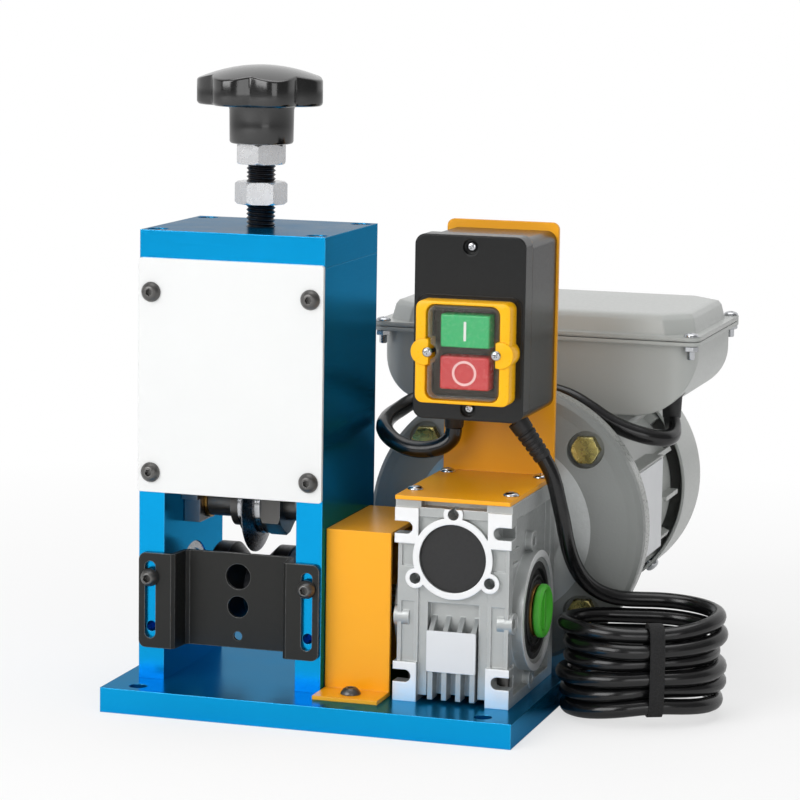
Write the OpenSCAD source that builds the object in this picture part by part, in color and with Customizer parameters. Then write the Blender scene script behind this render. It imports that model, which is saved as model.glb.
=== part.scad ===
// Bench wire stripping machine, in millimetres: X to the right, Y to the back, Z up.
// The origin is the middle of the base plate's underside, and the wire is fed in from the front.
// A screw presses a free-turning round blade down on a motor-driven grooved roller.

/* [Base plate] */
// Width of the base plate
base_w = 204; // [200:1:230]
// Depth of the base plate
base_d = 172; // [168:1:190]
// Thickness of the base plate
base_t = 12; // [10:0.5:16]
// Diameter of the four bench bolt holes
bench_hole_d = 8.7; // [6:0.1:10]
// Bench bolt holes from the side edges
bench_inset_x = 16; // [12:1:20]
// Bench bolt holes from the front and back edges
bench_inset_y = 9; // [8:0.5:10]

/* [Tower] */
// Middle of the tower to the left of the base's middle
tower_left = 46; // [44:0.5:48]
// Front face of the tower in front of the base's middle
tower_front = 60; // [56:1:64]
// Width over the two side plates
tower_w = 93; // [91:0.5:98]
// Depth of the side plates
tower_d = 80; // [76:1:86]
// Height of the side plates
side_h = 203.7; // [200:0.1:215]
// Thickness of a side plate
side_t = 13; // [12:0.5:14]
// Thickness of the top plate
top_t = 14.5; // [12:0.5:18]
// Thickness of the front cover sheet
cover_t = 2; // [1.5:0.1:3]
// Height of the front cover sheet
cover_h = 112.9; // [108:0.1:120]
// Front cover's upper edge below the top plate's upper face
cover_drop = 13.1; // [12:0.1:16]

/* [Blade and carriage] */
// Diameter of the round blade
blade_d = 48.8; // [46:0.1:50]
// Thickness of the blade at its middle
blade_t = 5.6; // [4:0.1:6]
// Depth of the blade's edge below the roller's rim at rest
blade_dip = 3.6; // [2:0.1:4]
// Diameter of the blade's axle between the carriage legs
axle_d = 16; // [15:0.5:18]
// Thickness of a carriage leg
leg_t = 8.2; // [7:0.1:9]
// Depth of the carriage from front to back
carriage_d = 36; // [32:1:40]
// Height of the carriage's cross block
block_h = 22; // [18:1:26]
// Underside of the cross block above the axle
block_rise = 38; // [36:1:42]

/* [Press screw] */
// Outer diameter of the press screw
rod_d = 14.2; // [12:0.1:16]
// Size across the flats of the two nuts
nut_af = 22; // [21:0.5:24]
// Height of the lock nut
lock_nut_h = 10.8; // [8:0.1:12]
// Height of the jam nut under the knob
jam_nut_h = 9.8; // [8:0.1:11]
// Lock nut above the top plate at rest
lock_rise = 11; // [9:0.5:12]
// Underside of the knob above the top plate at rest
knob_rise = 40.1; // [39:0.1:44]
// Diameter of the knob over its lobes
knob_d = 64; // [56:1:70]
// Number of lobes on the knob
knob_lobes = 7; // [5:1:9]
// Diameter of the knob's hub
hub_d = 31.5; // [30:0.5:36]

/* [Feed roller] */
// Outer diameter of the feed roller
roller_d = 44.4; // [42:0.1:46]
// Width of the feed roller
roller_w = 40; // [34:1:44]
// Half width of the groove at the roller's rim
groove_half = 11.5; // [10:0.5:12.5]
// Depth of the groove
groove_depth = 9; // [7:0.5:9.5]
// Diameter of the roller's shaft in its bearings
shaft_d = 20; // [18:0.5:21]

/* [Wire guide] */
// Lower edge of the wire guide above the base plate
guide_rise = 15.8; // [14:0.1:18]
// Height of the wire guide
guide_h = 46.6; // [45:0.1:50]
// Thickness of the guide sheet
guide_t = 2; // [1.5:0.1:2.5]
// Depth of the guide's recessed panel behind its ears
guide_depth = 14.3; // [12:0.1:14.4]
// Width of the recessed panel
guide_panel_w = 50; // [46:0.5:54]
// Diameters of the three wire holes, from the top down
wire_hole_d = [12.5, 10.5, 4.5];
// Heights of the three wire holes above the guide's lower edge
wire_hole_h = [35.1, 20.2, 5.8];

/* [Worm gearbox] */
// Clear distance from the tower to the gearbox hub
drive_gap = 33; // [31:0.5:35]
// Width over the two hub faces
hub_w = 63; // [61:0.5:65]
// Width of the housing
housing_w = 57; // [55:0.5:58]
// Height of the housing
housing_h = 97; // [96:0.5:102]
// Height of the output shaft above the base plate
output_h = 40; // [39:0.5:42]
// Distance between the worm's and the worm wheel's axes
gear_centres = 30; // [29:0.5:31]
// Number of teeth on the worm wheel
wheel_teeth = 30; // [24:1:36]
// Width of the worm wheel's rim
wheel_w = 14; // [12:0.5:16]
// Diameter of the bore in the hollow output shaft
output_bore = 14; // [12:0.5:15]

/* [Motor] */
// Radius of the motor frame without its fins
frame_r = 54; // [52:0.5:55]
// Radius over the cooling fins
fin_r = 59; // [58:0.5:60]
// Length of the motor frame
frame_l = 116; // [110:1:125]
// Thickness of each of the two joined flanges
flange_t = 9; // [8:0.5:11]
// Bolt circle diameter of the motor flange
bolt_circle = 115; // [113:1:117]
// Outer radius of the fan cowl
cowl_r = 61; // [60.8:0.1:63]
// Length of the fan cowl
cowl_l = 53; // [48:1:58]

/* [Terminal box] */
// Width of the box at its rim
box_w = 170; // [164:1:174]
// Depth of the box at its rim
box_d = 108; // [104:1:112]
// Wall thickness of the box
box_wall = 2.5; // [2:0.1:3]
// Height of the lid's dome above its rim
lid_h = 10; // [8:0.5:14]

/* [Switch] */
// Width of the switch box
switch_w = 54; // [53:0.5:56]
// Height of the switch box
switch_h = 85.9; // [84:0.1:92]
// Depth of the rear case
case_d = 44.5; // [40:0.5:44.5]
// Depth of the front cover
switch_cover_d = 12; // [10:0.5:14]
// Wall thickness of the case
case_wall = 2.5; // [2:0.1:3]
// Height of the bracket's upright plate above the gearbox
bracket_h = 125.5; // [124:0.5:132]
// Thickness of the bracket sheet
bracket_t = 2; // [1.5:0.1:3]
// Travel of the two buttons
button_travel = 3; // [2:0.5:3]

/* [Power cord] */
// Diameter of the power cord
cord_d = 7.6; // [7:0.1:8]
// Diameter of the lead to the motor
lead_d = 8.4; // [7.5:0.1:8.5]
// Length of the wound cord bundle
hank_l = 80; // [76:1:81]
// Width of the wound cord bundle
hank_w = 56; // [52:1:56]
// Height of the wound cord bundle
hank_h = 54.5; // [46:0.5:56]

/* [Hidden] */
$fn = 64;

// Clearances: running shafts, screws in their holes, and pieces that slide or lie beside each other
run_gap = 0.05;
screw_gap = 0.05;
slide_gap = 0.25;
seat_gap = 0.1;

// Finishes
blue = [0.05, 0.36, 0.68];
orange = [0.93, 0.6, 0.12];
black = [0.08, 0.08, 0.09];
steel = [0.74, 0.75, 0.77];
dark_steel = [0.3, 0.31, 0.33];
cast_grey = [0.68, 0.7, 0.71];
motor_grey = [0.58, 0.6, 0.59];
yellow = [0.96, 0.77, 0.06];

// Tower and base
tower_x = -tower_left;
tower_y0 = -tower_front;
tower_y1 = tower_y0 + tower_d;
axis_y = tower_y0 + tower_d / 2;
tower_x0 = tower_x - tower_w / 2;
tower_x1 = tower_x + tower_w / 2;
inner_half = tower_w / 2 - side_t;
side_top = base_t + side_h;
plate_top = side_top + top_t;
edge_inset = 6.5;
cap_screw_d = 6;
cap_head_d = 10;
cap_head_h = 6;
counterbore_d = 10.2;
counterbore_h = 6.6;
cap_screw_l = 20;
cover_top = plate_top - cover_drop;
cover_bottom = cover_top - cover_h;
cover_screw_inset = 16.3;
cover_screw_low = 9.6;
button_head_d = 9.7;
button_head_h = 3.2;
cover_screw_d = 5;
cover_screw_l = 14;

// Roller, blade and carriage
roller_z = base_t + output_h;
blade_z = roller_z + roller_d / 2 - blade_dip + blade_d / 2;
groove_floor = groove_half - groove_depth;
bearing_d = 42;
bearing_w = 12;
spacer_d = 27;
journal_d = 10;
bush_d = 14;
bush_flange_d = 20;
bush_flange_t = 1.2;
leg_end = 9.5;
leg_x = inner_half - slide_gap - leg_t;
block_z0 = blade_z + block_rise;
block_z1 = block_z0 + block_h;
blade_edge_w = 0.6;
bevel = 8;
washer_d = 30;
washer_l = 2.6;
washer_r = 3.1;
clamp_nut_w = 10;
clamp_nut_af = 27;
axle_collar_d = 24;
axle_collar_w = 5;

// Press screw and knob
neck_d = 10;
retainer_washer_t = 3;
retainer_d = 20;
retainer_nut_h = 6;
lock_z = plate_top + lock_rise;
knob_z = plate_top + knob_rise;
knob_hub_h = 18.5;
knob_rim_h = 12.5;
knob_dome_h = 6.8;
knob_bore_depth = 16;

// Wire guide
guide_z = base_t + guide_rise;
guide_gap = 0.2;
ear_w = 18;
ear_inset = 0.7;
ear_slot_w = 5.5;
ear_slot_low = 4.7;
ear_slot_high = 4;
ear_slot_inset = 6.6;
guide_corner_r = 3.5;
guide_screw_d = 5;
guide_head_d = 9;
guide_head_h = 5;
guide_screw_z = base_t + 50.5;
spare_hole_z = base_t + 26;

// Drive cover
drive_x0 = tower_x1 + 0.3;
drive_x1 = tower_x1 + drive_gap - 0.5;
drive_y0 = tower_y0 + 6;
drive_y1 = tower_y1 - 7.5;
drive_h = 79;
drive_t = 2;
drive_foot = 19;
drive_screw_d = 5;

// Gearbox
gear_x = tower_x1 + drive_gap + hub_w / 2;
worm_z = roller_z + gear_centres;
housing_y0 = tower_y0;
housing_y1 = tower_y1;
housing_top = base_t + housing_h;
core_half = housing_w / 2 - 3;
pad_w = 11.6;
pad_t = 8;
pad_slot_h = 6;
pad_slot_l = 8.8;
top_pad_z = [76, 93];
low_pad_z = [0, 19];
top_slot_z = 83.5;
low_slot_z = 12.2;
rail_h = 8;
worm_bore_r = 16.3;
output_bore_r = 23.55;
boss_wall = 3.2;
lobe_circle_r = 21;
lobe_r = 4.8;
lobe_hole_d = 5.3;
hub_r = 29;
side_boss_r = 33.5;
side_boss_d = 10;
hollow_shaft_d = 25;
seal_w = 7;
output_bearing_w = 12;
worm_bearing_w = 11;
worm_root_d = 13.2;
worm_journal_d = 15;
wheel_tip_r = gear_centres - worm_root_d / 2 - 0.3;
tooth_h = 3.1;
plate_w = 24.2;
plate_h = 19.8;
plate_z = base_t + 25.1;
plate_sheet = 0.8;
fin_count = 4;
fin_pitch = 6.9;
housing_fin_t = 2.5;
bracket_hole_x = 23.5;
bracket_hole_y = [16, 70];
bracket_screw_d = 4;

// Motor
flange_r = output_h + gear_centres - 0.3;
flange_y0 = housing_y1 + 19 - flange_t + 2;
flange_y1 = housing_y1 + 19;
shield_y1 = flange_y1 + flange_t;
frame_y1 = shield_y1 + frame_l;
spigot_r = 47.5;
spigot_h = 2.7;
bolt_head_af = 13;
bolt_head_h = 5.3;
bolt_d = 8;
motor_shaft_d = 12;
input_d = 11;
motor_bearing_d = 32;
motor_bearing_w = 10;
frame_wall = 7;
motor_fins = 16;
motor_fin_t = 2.4;
stator_l = 70;
stator_y = shield_y1 + 14;
winding_l = 9;
air_gap = 0.4;
bore_half = 27;
lug_l = 14;
cowl_y0 = frame_y1 + 5;
cowl_y1 = cowl_y0 + cowl_l;
cowl_wall = 1.5;
cowl_round = 15;
lug_r = cowl_r - cowl_wall - 0.2;
cowl_screw_y = cowl_y0 + 5;
name_pad_half = 24;
name_pad_x = 57.5;

// Terminal box
tub_w = box_w - 6;
tub_d = box_d - 8;
box_y = shield_y1 + 84;
rim_z = worm_z + 87.7;
rim_t = 2;
gasket_t = 0.4;
lid_rim_t = 2.2;
tub_bottom = worm_z + 51;
tub_round = 30;
saddle_r = cowl_r + 0.3;
tub_corner = 14;
box_pad_half = 22;
box_screw_inset = 4.5;
cap_r = 15;
cap_l = 72;

// Switch
bracket_w = 56;
plate_y1 = housing_y1 - 0.5;
plate_y0 = plate_y1 - bracket_t;
foot_y0 = housing_y0 - 1.6;
bracket_z = housing_top;
switch_y1 = plate_y0;
switch_y0 = switch_y1 - case_d;
switch_cover_y0 = switch_y0 - switch_cover_d;
switch_z0 = bracket_z + 35.6;
switch_z = switch_z0 + switch_h / 2;
corner_r = 5;
cover_lip = 1.7;
switch_screw_z = [switch_z0 + 5.4, switch_z0 + switch_h - 3.8];
switch_screw_d = 4;
bezel_w = 46;
bezel_h = 48.4;
bezel_d = 11;
bezel_z = switch_z0 + 33.2;
window_w = 36;
window_h = 45;
ear_x = 16.7;
ear_r = 3.1;
ear_lobe_x = 20;
ear_lobe_r = 6;
ear_proud = 1;
bezel_screw_d = 2.6;
boot_wall = 1.2;
button_w = 24.1;
start_h = 15.7;
stop_h = 15.8;
start_z = bezel_z + 9.95;
stop_z = bezel_z - 9.9;
button_front = switch_cover_y0 - 7;
button_l = 17;

// The lead from the switch box, round the bracket and over the motor, up into the terminal box
lead_points = [
    [46, 4, 134], [45, 4, 129], [40, 3, 124.5], [32, 2, 122.5], [23, 2, 123], [15, 4, 126],
    [9, 10, 129.5], [6, 20, 132], [5, 32, 133.5], [6, 44, 135], [9, 54, 137.5], [17, 61, 141],
    [29, 64, 144.5], [43, 64.5, 146.5], [58, 64, 147], [74, 64, 146.5], [88, 64, 143.5],
    [99, 64, 138], [108, 64.5, 132.5], [118, 66, 128], [128, 69, 125], [135, 75, 123.5],
    [137, 83, 124], [136, 90, 126.5], [134, 95, 131]
];
// The power cord from the strain relief down to the wound bundle
cord_points = [
    [94.3, -8, 123.8], [98, -6.8, 116.6], [100.2, -5.6, 109.4], [101.4, -4.5, 102.8],
    [102.6, -3.6, 97.6], [103.5, -2.3, 92], [104.3, -0.3, 85.9], [105.2, 2.2, 79.4],
    [106.6, 5.2, 72.8], [108.7, 8.6, 66.6], [111.7, 12.3, 61], [116, 16.3, 56.3],
    [121.9, 20.5, 52.8], [129.6, 24.8, 50.8]
];
lead_end = lead_points[len(lead_points) - 1];
grommet_d = 13;
relief_top = [82, -11, 141.5];
relief_d = 11;
relief_collar_d = 13;
relief_collar_h = 2;
hank_centre = [142.5, 5];
hank_turn = 25;
// The cord leaves the bundle's lowest turn here, along plug_turn
plug_from = [108.9, 6];
plug_turn = 79.7;
plug_tail_l = 24;
plug_w = 26;
plug_l = 28;
plug_h = 15;
plug_relief_l = 22;
blade_pin_l = 17;
cord_sides = 8;

// Common shapes
module along_x(x0, x1, d) {
    translate([x0, 0, 0]) rotate([0, 90, 0]) cylinder(d = d, h = x1 - x0);
}

module along_y(y0, y1, d) {
    translate([0, y0, 0]) rotate([-90, 0, 0]) cylinder(d = d, h = y1 - y0);
}

module rounded(w, h, r) {
    square([w - 2 * r, h], center = true);
    square([w, h - 2 * r], center = true);
    for (sx = [-1, 1], sy = [-1, 1])
        translate([sx * (w / 2 - r), sy * (h / 2 - r)]) circle(r = r);
}

// An outline in X and Z, drawn out from y0 to y1
module facing(y0, y1) {
    translate([0, y1, 0]) rotate([90, 0, 0]) linear_extrude(y1 - y0) children();
}

// A profile of radius and Y, revolved about the Y axis
module revolved_y() {
    rotate([-90, 0, 0]) rotate_extrude() children();
}

// Screws stand on the plane under their heads, with the shank down
module domed_screw(d, l, head_d, head_h) {
    ball_r = (head_h * head_h + head_d * head_d / 4) / (2 * head_h);
    translate([0, 0, -l]) cylinder(d = d, h = l + head_h / 2);
    intersection() {
        translate([0, 0, head_h - ball_r]) sphere(r = ball_r);
        cylinder(d = head_d, h = head_h);
    }
}

module socket_screw(d, l, head_d, head_h) {
    translate([0, 0, -l]) cylinder(d = d, h = l);
    difference() {
        cylinder(d = head_d, h = head_h);
        translate([0, 0, head_h / 2]) cylinder(d = d, h = head_h, $fn = 6);
    }
}

module hex_prism(af, h) {
    cylinder(r = af / 2 / cos(30), h = h, $fn = 6);
}

// A nut with its corners turned down at both ends
module nut(af, h, bore) {
    corner = af / cos(30);
    chamfer = 1.2;
    difference() {
        intersection() {
            hex_prism(af, h);
            union() {
                cylinder(d1 = corner - 2 * chamfer, d2 = corner + 1, h = chamfer * 1.2);
                translate([0, 0, chamfer * 1.2])
                    cylinder(d = corner + 1, h = h - 2.4 * chamfer);
                translate([0, 0, h - chamfer * 1.2])
                    cylinder(d1 = corner + 1, d2 = corner - 2 * chamfer, h = chamfer * 1.2);
            }
        }
        translate([0, 0, -1]) cylinder(d = bore, h = h + 2);
    }
}

// A tube swept along points: each ring faces the way the path runs there
function unit(v) = v / norm(v);
function path_way(p, i) = unit(p[min(i + 1, len(p) - 1)] - p[max(i - 1, 0)]);
function carry(side, way) = unit(side - (side * way) * way);
function path_sides(p, i = 0, side = [0.3, 1, 0.2]) =
    i == len(p) ? [] : let (s = carry(side, path_way(p, i))) concat([s], path_sides(p, i + 1, s));
function smooth_point(p, i, t) =
    let (
        a = p[max(i - 1, 0)],
        b = p[i],
        c = p[i + 1],
        d = p[min(i + 2, len(p) - 1)]
    )
    0.5 * (2 * b + (c - a) * t + (2 * a - 5 * b + 4 * c - d) * t * t
        + (3 * b - a - 3 * c + d) * t * t * t);
function smooth_path(p, steps) =
    concat([for (i = [0 : len(p) - 2], k = [0 : steps - 1]) smooth_point(p, i, k / steps)],
        [p[len(p) - 1]]);

module tube(points, d, sides) {
    path = smooth_path(points, 2);
    across = path_sides(path);
    count = len(path);
    rings = [
        for (i = [0 : count - 1], k = [0 : sides - 1])
            let (way = path_way(path, i), a = 360 * k / sides)
            path[i] + d / 2 * (cos(a) * across[i] + sin(a) * cross(way, across[i]))
    ];
    walls = [
        for (i = [0 : count - 2], k = [0 : sides - 1])
            let (n = (k + 1) % sides, low = i * sides, high = (i + 1) * sides)
            [low + k, high + k, high + n, low + n]
    ];
    first = [for (k = [0 : sides - 1]) k];
    last = [for (k = [sides - 1 : -1 : 0]) (count - 1) * sides + k];
    polyhedron(rings, concat(walls, [first, last]), convexity = 6);
}

// Base and tower
module tower_screw_spots() {
    for (sx = [-1, 1], y = [tower_y0 + edge_inset, tower_y1 - edge_inset])
        translate([tower_x + sx * (tower_w / 2 - edge_inset), y, 0]) children();
}

module gearbox_screw_spots() {
    for (sx = [-1, 1], y = [housing_y0 + 14, housing_y1 - 8])
        translate([gear_x + sx * 22, y, 0]) children();
}

module screw_from_below() {
    translate([0, 0, counterbore_h]) rotate([180, 0, 0])
        socket_screw(cap_screw_d, cap_screw_l, cap_head_d, cap_head_h);
}

module base_plate() {
    color(blue) difference() {
        translate([-base_w / 2, -base_d / 2, 0]) cube([base_w, base_d, base_t]);
        for (sx = [-1, 1], sy = [-1, 1])
            translate([sx * (base_w / 2 - bench_inset_x), sy * (base_d / 2 - bench_inset_y), -1])
                cylinder(d = bench_hole_d, h = base_t + 2);
        tower_screw_spots() {
            translate([0, 0, -1]) cylinder(d = cap_screw_d + 2 * screw_gap, h = base_t + 2);
            translate([0, 0, -1]) cylinder(d = counterbore_d, h = counterbore_h + 1);
        }
        gearbox_screw_spots() {
            translate([0, 0, -1]) cylinder(d = cap_screw_d + 2 * screw_gap, h = base_t + 2);
            translate([0, 0, -1]) cylinder(d = counterbore_d, h = counterbore_h + 1);
        }
        translate([(drive_x0 + drive_x1) / 2, drive_y0 - drive_foot / 2, base_t - 9])
            cylinder(d = drive_screw_d + 2 * screw_gap, h = 10);
    }
}

module frame_screws() {
    color(dark_steel) {
        tower_screw_spots() screw_from_below();
        gearbox_screw_spots() screw_from_below();
        tower_screw_spots() translate([0, 0, plate_top - counterbore_h])
            socket_screw(cap_screw_d, cap_screw_l, cap_head_d, cap_head_h);
    }
}

module side_plate(sx) {
    outer_x = tower_x + sx * tower_w / 2;
    screw_x = outer_x - sx * edge_inset;
    guide_x = outer_x - sx * ear_slot_inset;
    low_depth = cap_screw_l + counterbore_h - base_t + 1;
    high_depth = cap_screw_l + counterbore_h - top_t + 1;
    color(blue) difference() {
        translate([min(outer_x, outer_x - sx * side_t), tower_y0, base_t])
            cube([side_t, tower_d, side_h]);
        translate([outer_x, axis_y, roller_z]) rotate([0, -90 * sx, 0])
            translate([0, 0, -1]) cylinder(d = bearing_d + 2 * screw_gap, h = side_t + 2);
        for (y = [tower_y0 + edge_inset, tower_y1 - edge_inset]) {
            translate([screw_x, y, base_t - 1])
                cylinder(d = cap_screw_d + 2 * screw_gap, h = low_depth + 1);
            translate([screw_x, y, side_top - high_depth])
                cylinder(d = cap_screw_d + 2 * screw_gap, h = high_depth + 1);
        }
        for (z = [cover_bottom + cover_screw_low, cover_top - cover_screw_inset])
            translate([screw_x, 0, z])
                along_y(tower_y0 - 1, tower_y0 + cover_screw_l, cover_screw_d + 2 * screw_gap);
        for (z = [guide_screw_z, spare_hole_z])
            translate([guide_x, 0, z])
                along_y(tower_y0 - 1, tower_y0 + cover_screw_l, guide_screw_d + 2 * screw_gap);
    }
}

module left_side_plate() {
    side_plate(-1);
}

module right_side_plate() {
    side_plate(1);
}

module top_plate() {
    color(blue) difference() {
        translate([tower_x0, tower_y0, side_top]) cube([tower_w, tower_d, top_t]);
        translate([tower_x, axis_y, side_top - 1])
            cylinder(d = rod_d + 2 * run_gap, h = top_t + 2);
        tower_screw_spots() {
            translate([0, 0, side_top - 1])
                cylinder(d = cap_screw_d + 2 * screw_gap, h = top_t + 2);
            translate([0, 0, plate_top - counterbore_h])
                cylinder(d = counterbore_d, h = counterbore_h + 1);
        }
    }
}

module front_screw_spots() {
    for (sx = [-1, 1], z = [cover_bottom + cover_screw_low, cover_top - cover_screw_inset])
        translate([tower_x + sx * (tower_w / 2 - edge_inset), 0, z]) children();
}

module front_cover() {
    color("white") difference() {
        translate([tower_x, 0, (cover_top + cover_bottom) / 2])
            facing(tower_y0 - cover_t, tower_y0) rounded(tower_w, cover_h, 1.5);
        front_screw_spots()
            along_y(tower_y0 - cover_t - 1, tower_y0 + 1, cover_screw_d + 2 * screw_gap);
    }
}

module cover_screws() {
    color(dark_steel) {
        front_screw_spots() translate([0, tower_y0 - cover_t, 0]) rotate([90, 0, 0])
            domed_screw(cover_screw_d, cover_screw_l, button_head_d, button_head_h);
        translate([(drive_x0 + drive_x1) / 2, drive_y0 - drive_foot / 2, base_t + drive_t])
            domed_screw(drive_screw_d, 10, 10, button_head_h);
    }
}

module ball_bearing(outer, inner, w) {
    race = (outer - inner) / 6;
    rotate([0, 90, 0]) rotate_extrude() difference() {
        translate([inner / 2, -w / 2]) square([(outer - inner) / 2, w]);
        for (side = [-1, 1])
            translate([inner / 2 + race, side * w / 2 - 0.8]) square([race, 1.6]);
    }
}

module roller_bearings() {
    color(steel) for (sx = [-1, 1])
        translate([tower_x + sx * (tower_w / 2 - side_t / 2), axis_y, roller_z])
            ball_bearing(bearing_d, shaft_d + 2 * run_gap, bearing_w);
}

module drive_cover() {
    w = drive_x1 - drive_x0;
    color(orange) difference() {
        union() {
            translate([drive_x0, drive_y0, base_t]) cube([w, drive_t, drive_h]);
            translate([drive_x0, drive_y1 - drive_t, base_t]) cube([w, drive_t, drive_h]);
            translate([drive_x0, drive_y0, base_t + drive_h - drive_t])
                cube([w, drive_y1 - drive_y0, drive_t]);
            translate([drive_x0, drive_y0 - drive_foot, base_t])
                cube([w, drive_foot + drive_t, drive_t]);
        }
        translate([(drive_x0 + drive_x1) / 2, drive_y0 - drive_foot / 2, base_t - 1])
            cylinder(d = drive_screw_d + 2 * screw_gap, h = drive_t + 2);
    }
}

// Blade, its axle and the carriage that the screw moves
module blade_carriage() {
    outer = leg_x + leg_t;
    leg_bottom = blade_z - leg_end;
    color(dark_steel) translate([tower_x, axis_y, 0]) difference() {
        union() {
            translate([-outer, -carriage_d / 2, block_z0]) cube([2 * outer, carriage_d, block_h]);
            for (sx = [-1, 1]) {
                translate([sx > 0 ? leg_x : -outer, -carriage_d / 2, blade_z + 2])
                    cube([leg_t, carriage_d, block_z0 - blade_z]);
                translate([sx > 0 ? leg_x : -outer, -carriage_d / 2 + 4, leg_bottom])
                    cube([leg_t, carriage_d - 8, leg_end + 4]);
            }
        }
        for (sx = [-1, 1])
            translate([sx > 0 ? leg_x - 1 : -outer - 1, 0, blade_z])
                along_x(0, leg_t + 2, bush_d + 2 * screw_gap);
        translate([0, 0, block_z0 - 1]) cylinder(d = neck_d + 2 * run_gap, h = block_h + 2);
    }
}

module blade_bushes() {
    color("goldenrod") translate([tower_x, axis_y, blade_z])
        for (sx = [-1, 1]) mirror([sx < 0 ? 1 : 0, 0, 0]) difference() {
            union() {
                along_x(leg_x, leg_x + leg_t, bush_d);
                along_x(leg_x - bush_flange_t - seat_gap, leg_x - seat_gap, bush_flange_d - 2);
                along_x(leg_x - seat_gap - 0.5, leg_x + 1, bush_d);
            }
            along_x(leg_x - 3, leg_x + leg_t + 1, journal_d + 2 * run_gap);
        }
}

module cutter_blade() {
    r = blade_d / 2;
    color(black) translate([tower_x, axis_y, blade_z]) rotate([0, 90, 0]) rotate_extrude($fn = 96)
        polygon([
            [axle_d / 2 + screw_gap, -blade_t / 2], [r - bevel, -blade_t / 2],
            [r, -blade_edge_w / 2], [r, blade_edge_w / 2],
            [r - bevel, blade_t / 2], [axle_d / 2 + screw_gap, blade_t / 2]
        ]);
}

module blade_axle() {
    half = inner_half - slide_gap - 0.4;
    shoulder = leg_x - bush_flange_t - seat_gap - 0.2;
    collar_x = -blade_t / 2 - washer_l;
    color(black) translate([tower_x, axis_y, blade_z]) {
        along_x(-half, half, journal_d);
        along_x(-shoulder, shoulder, axle_d);
        along_x(collar_x - axle_collar_w, collar_x, axle_collar_d);
    }
}

module blade_washers() {
    color(steel) translate([tower_x, axis_y, blade_z]) difference() {
        union() {
            along_x(-blade_t / 2 - washer_l, -blade_t / 2, washer_d);
            along_x(blade_t / 2, blade_t / 2 + washer_r, washer_d);
        }
        along_x(-20, 20, axle_d + 2 * screw_gap);
    }
}

module blade_nut() {
    color(black) translate([tower_x + blade_t / 2 + washer_r, axis_y, blade_z]) rotate([0, 90, 0])
        nut(clamp_nut_af, clamp_nut_w, axle_d + 2 * screw_gap);
}

// Press screw with its knob and nuts
module press_rod() {
    neck_end = block_z0 - retainer_washer_t - retainer_nut_h - 2;
    shoulder_z = block_z1 + slide_gap;
    color(dark_steel) translate([tower_x, axis_y, 0]) {
        translate([0, 0, neck_end]) cylinder(d = neck_d, h = shoulder_z - neck_end + 1);
        translate([0, 0, shoulder_z])
            cylinder(d = rod_d, h = knob_z + knob_bore_depth - 1 - shoulder_z);
    }
}

module rod_retainer() {
    color(steel) translate([tower_x, axis_y, block_z0 - slide_gap - retainer_washer_t]) {
        difference() {
            cylinder(d = retainer_d, h = retainer_washer_t);
            translate([0, 0, -1]) cylinder(d = neck_d + 2 * screw_gap, h = retainer_washer_t + 2);
        }
        translate([0, 0, -retainer_nut_h]) nut(17, retainer_nut_h, neck_d + 2 * screw_gap);
    }
}

module jam_nut() {
    color(steel) translate([tower_x, axis_y, knob_z - jam_nut_h]) rotate([0, 0, 42])
        nut(nut_af, jam_nut_h, rod_d + 2 * screw_gap);
}

module lock_nut() {
    color(steel) translate([tower_x, axis_y, lock_z]) rotate([0, 0, 17])
        nut(nut_af, lock_nut_h, rod_d + 2 * run_gap);
}

function lobed(r, depth, lobes, steps) = [
    for (i = [0 : steps - 1])
        let (a = 360 * i / steps, w = (1 + cos(lobes * a)) / 2)
        (r - depth + depth * pow(w, 0.6)) * [cos(a), sin(a)]
];

module press_knob() {
    r = knob_d / 2;
    rim_z = knob_hub_h;
    edge_z = rim_z + knob_rim_h;
    crown = [for (x = [r + 1 : -3 : 1]) [x, edge_z + knob_dome_h * (1 - x * x / (r * r))]];
    color(black) translate([tower_x, axis_y, knob_z]) difference() {
        union() {
            rotate_extrude() polygon([
                [0, 0], [hub_d / 2 - 1, 0], [hub_d / 2, 1], [hub_d / 2 + 0.6, rim_z - 1.5],
                [hub_d / 2 + 2, rim_z + 0.5], [0, rim_z + 0.5]
            ]);
            intersection() {
                translate([0, 0, rim_z]) linear_extrude(knob_rim_h + knob_dome_h + 1)
                    polygon(lobed(r, 4.6, knob_lobes, 20 * knob_lobes));
                rotate_extrude() polygon(concat(
                    [[0, rim_z], [r - 6, rim_z], [r - 2.5, rim_z + 0.6], [r + 1, rim_z + 3]],
                    crown, [[0, edge_z + knob_dome_h]]
                ));
            }
        }
        translate([0, 0, -1]) cylinder(d = rod_d + 2 * screw_gap, h = knob_bore_depth + 1);
    }
}

// Adjustable wire guide in front of the blade
module guide_section(h) {
    ear_x0 = tower_w / 2 - ear_inset;
    inner = ear_x0 - ear_w;
    half = guide_panel_w / 2;
    bend = 1.5;
    t = guide_t;
    front = 0;
    back = guide_depth;
    // from the panel's corner round the ear and back to the panel's rear corner
    side = [
        [half, back], [half + bend, back - bend], [inner - 0.2, bend], [inner + bend, front],
        [ear_x0, front], [ear_x0, front + t], [inner + 2 * bend, front + t],
        [inner + bend + 0.6, front + t + bend], [half + bend + 1.6, back + t - bend],
        [half + 0.8, back + t]
    ];
    last = len(side) - 1;
    linear_extrude(h)
        polygon(concat(side, [for (i = [last : -1 : 0]) [-side[i][0], side[i][1]]]));
}

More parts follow.
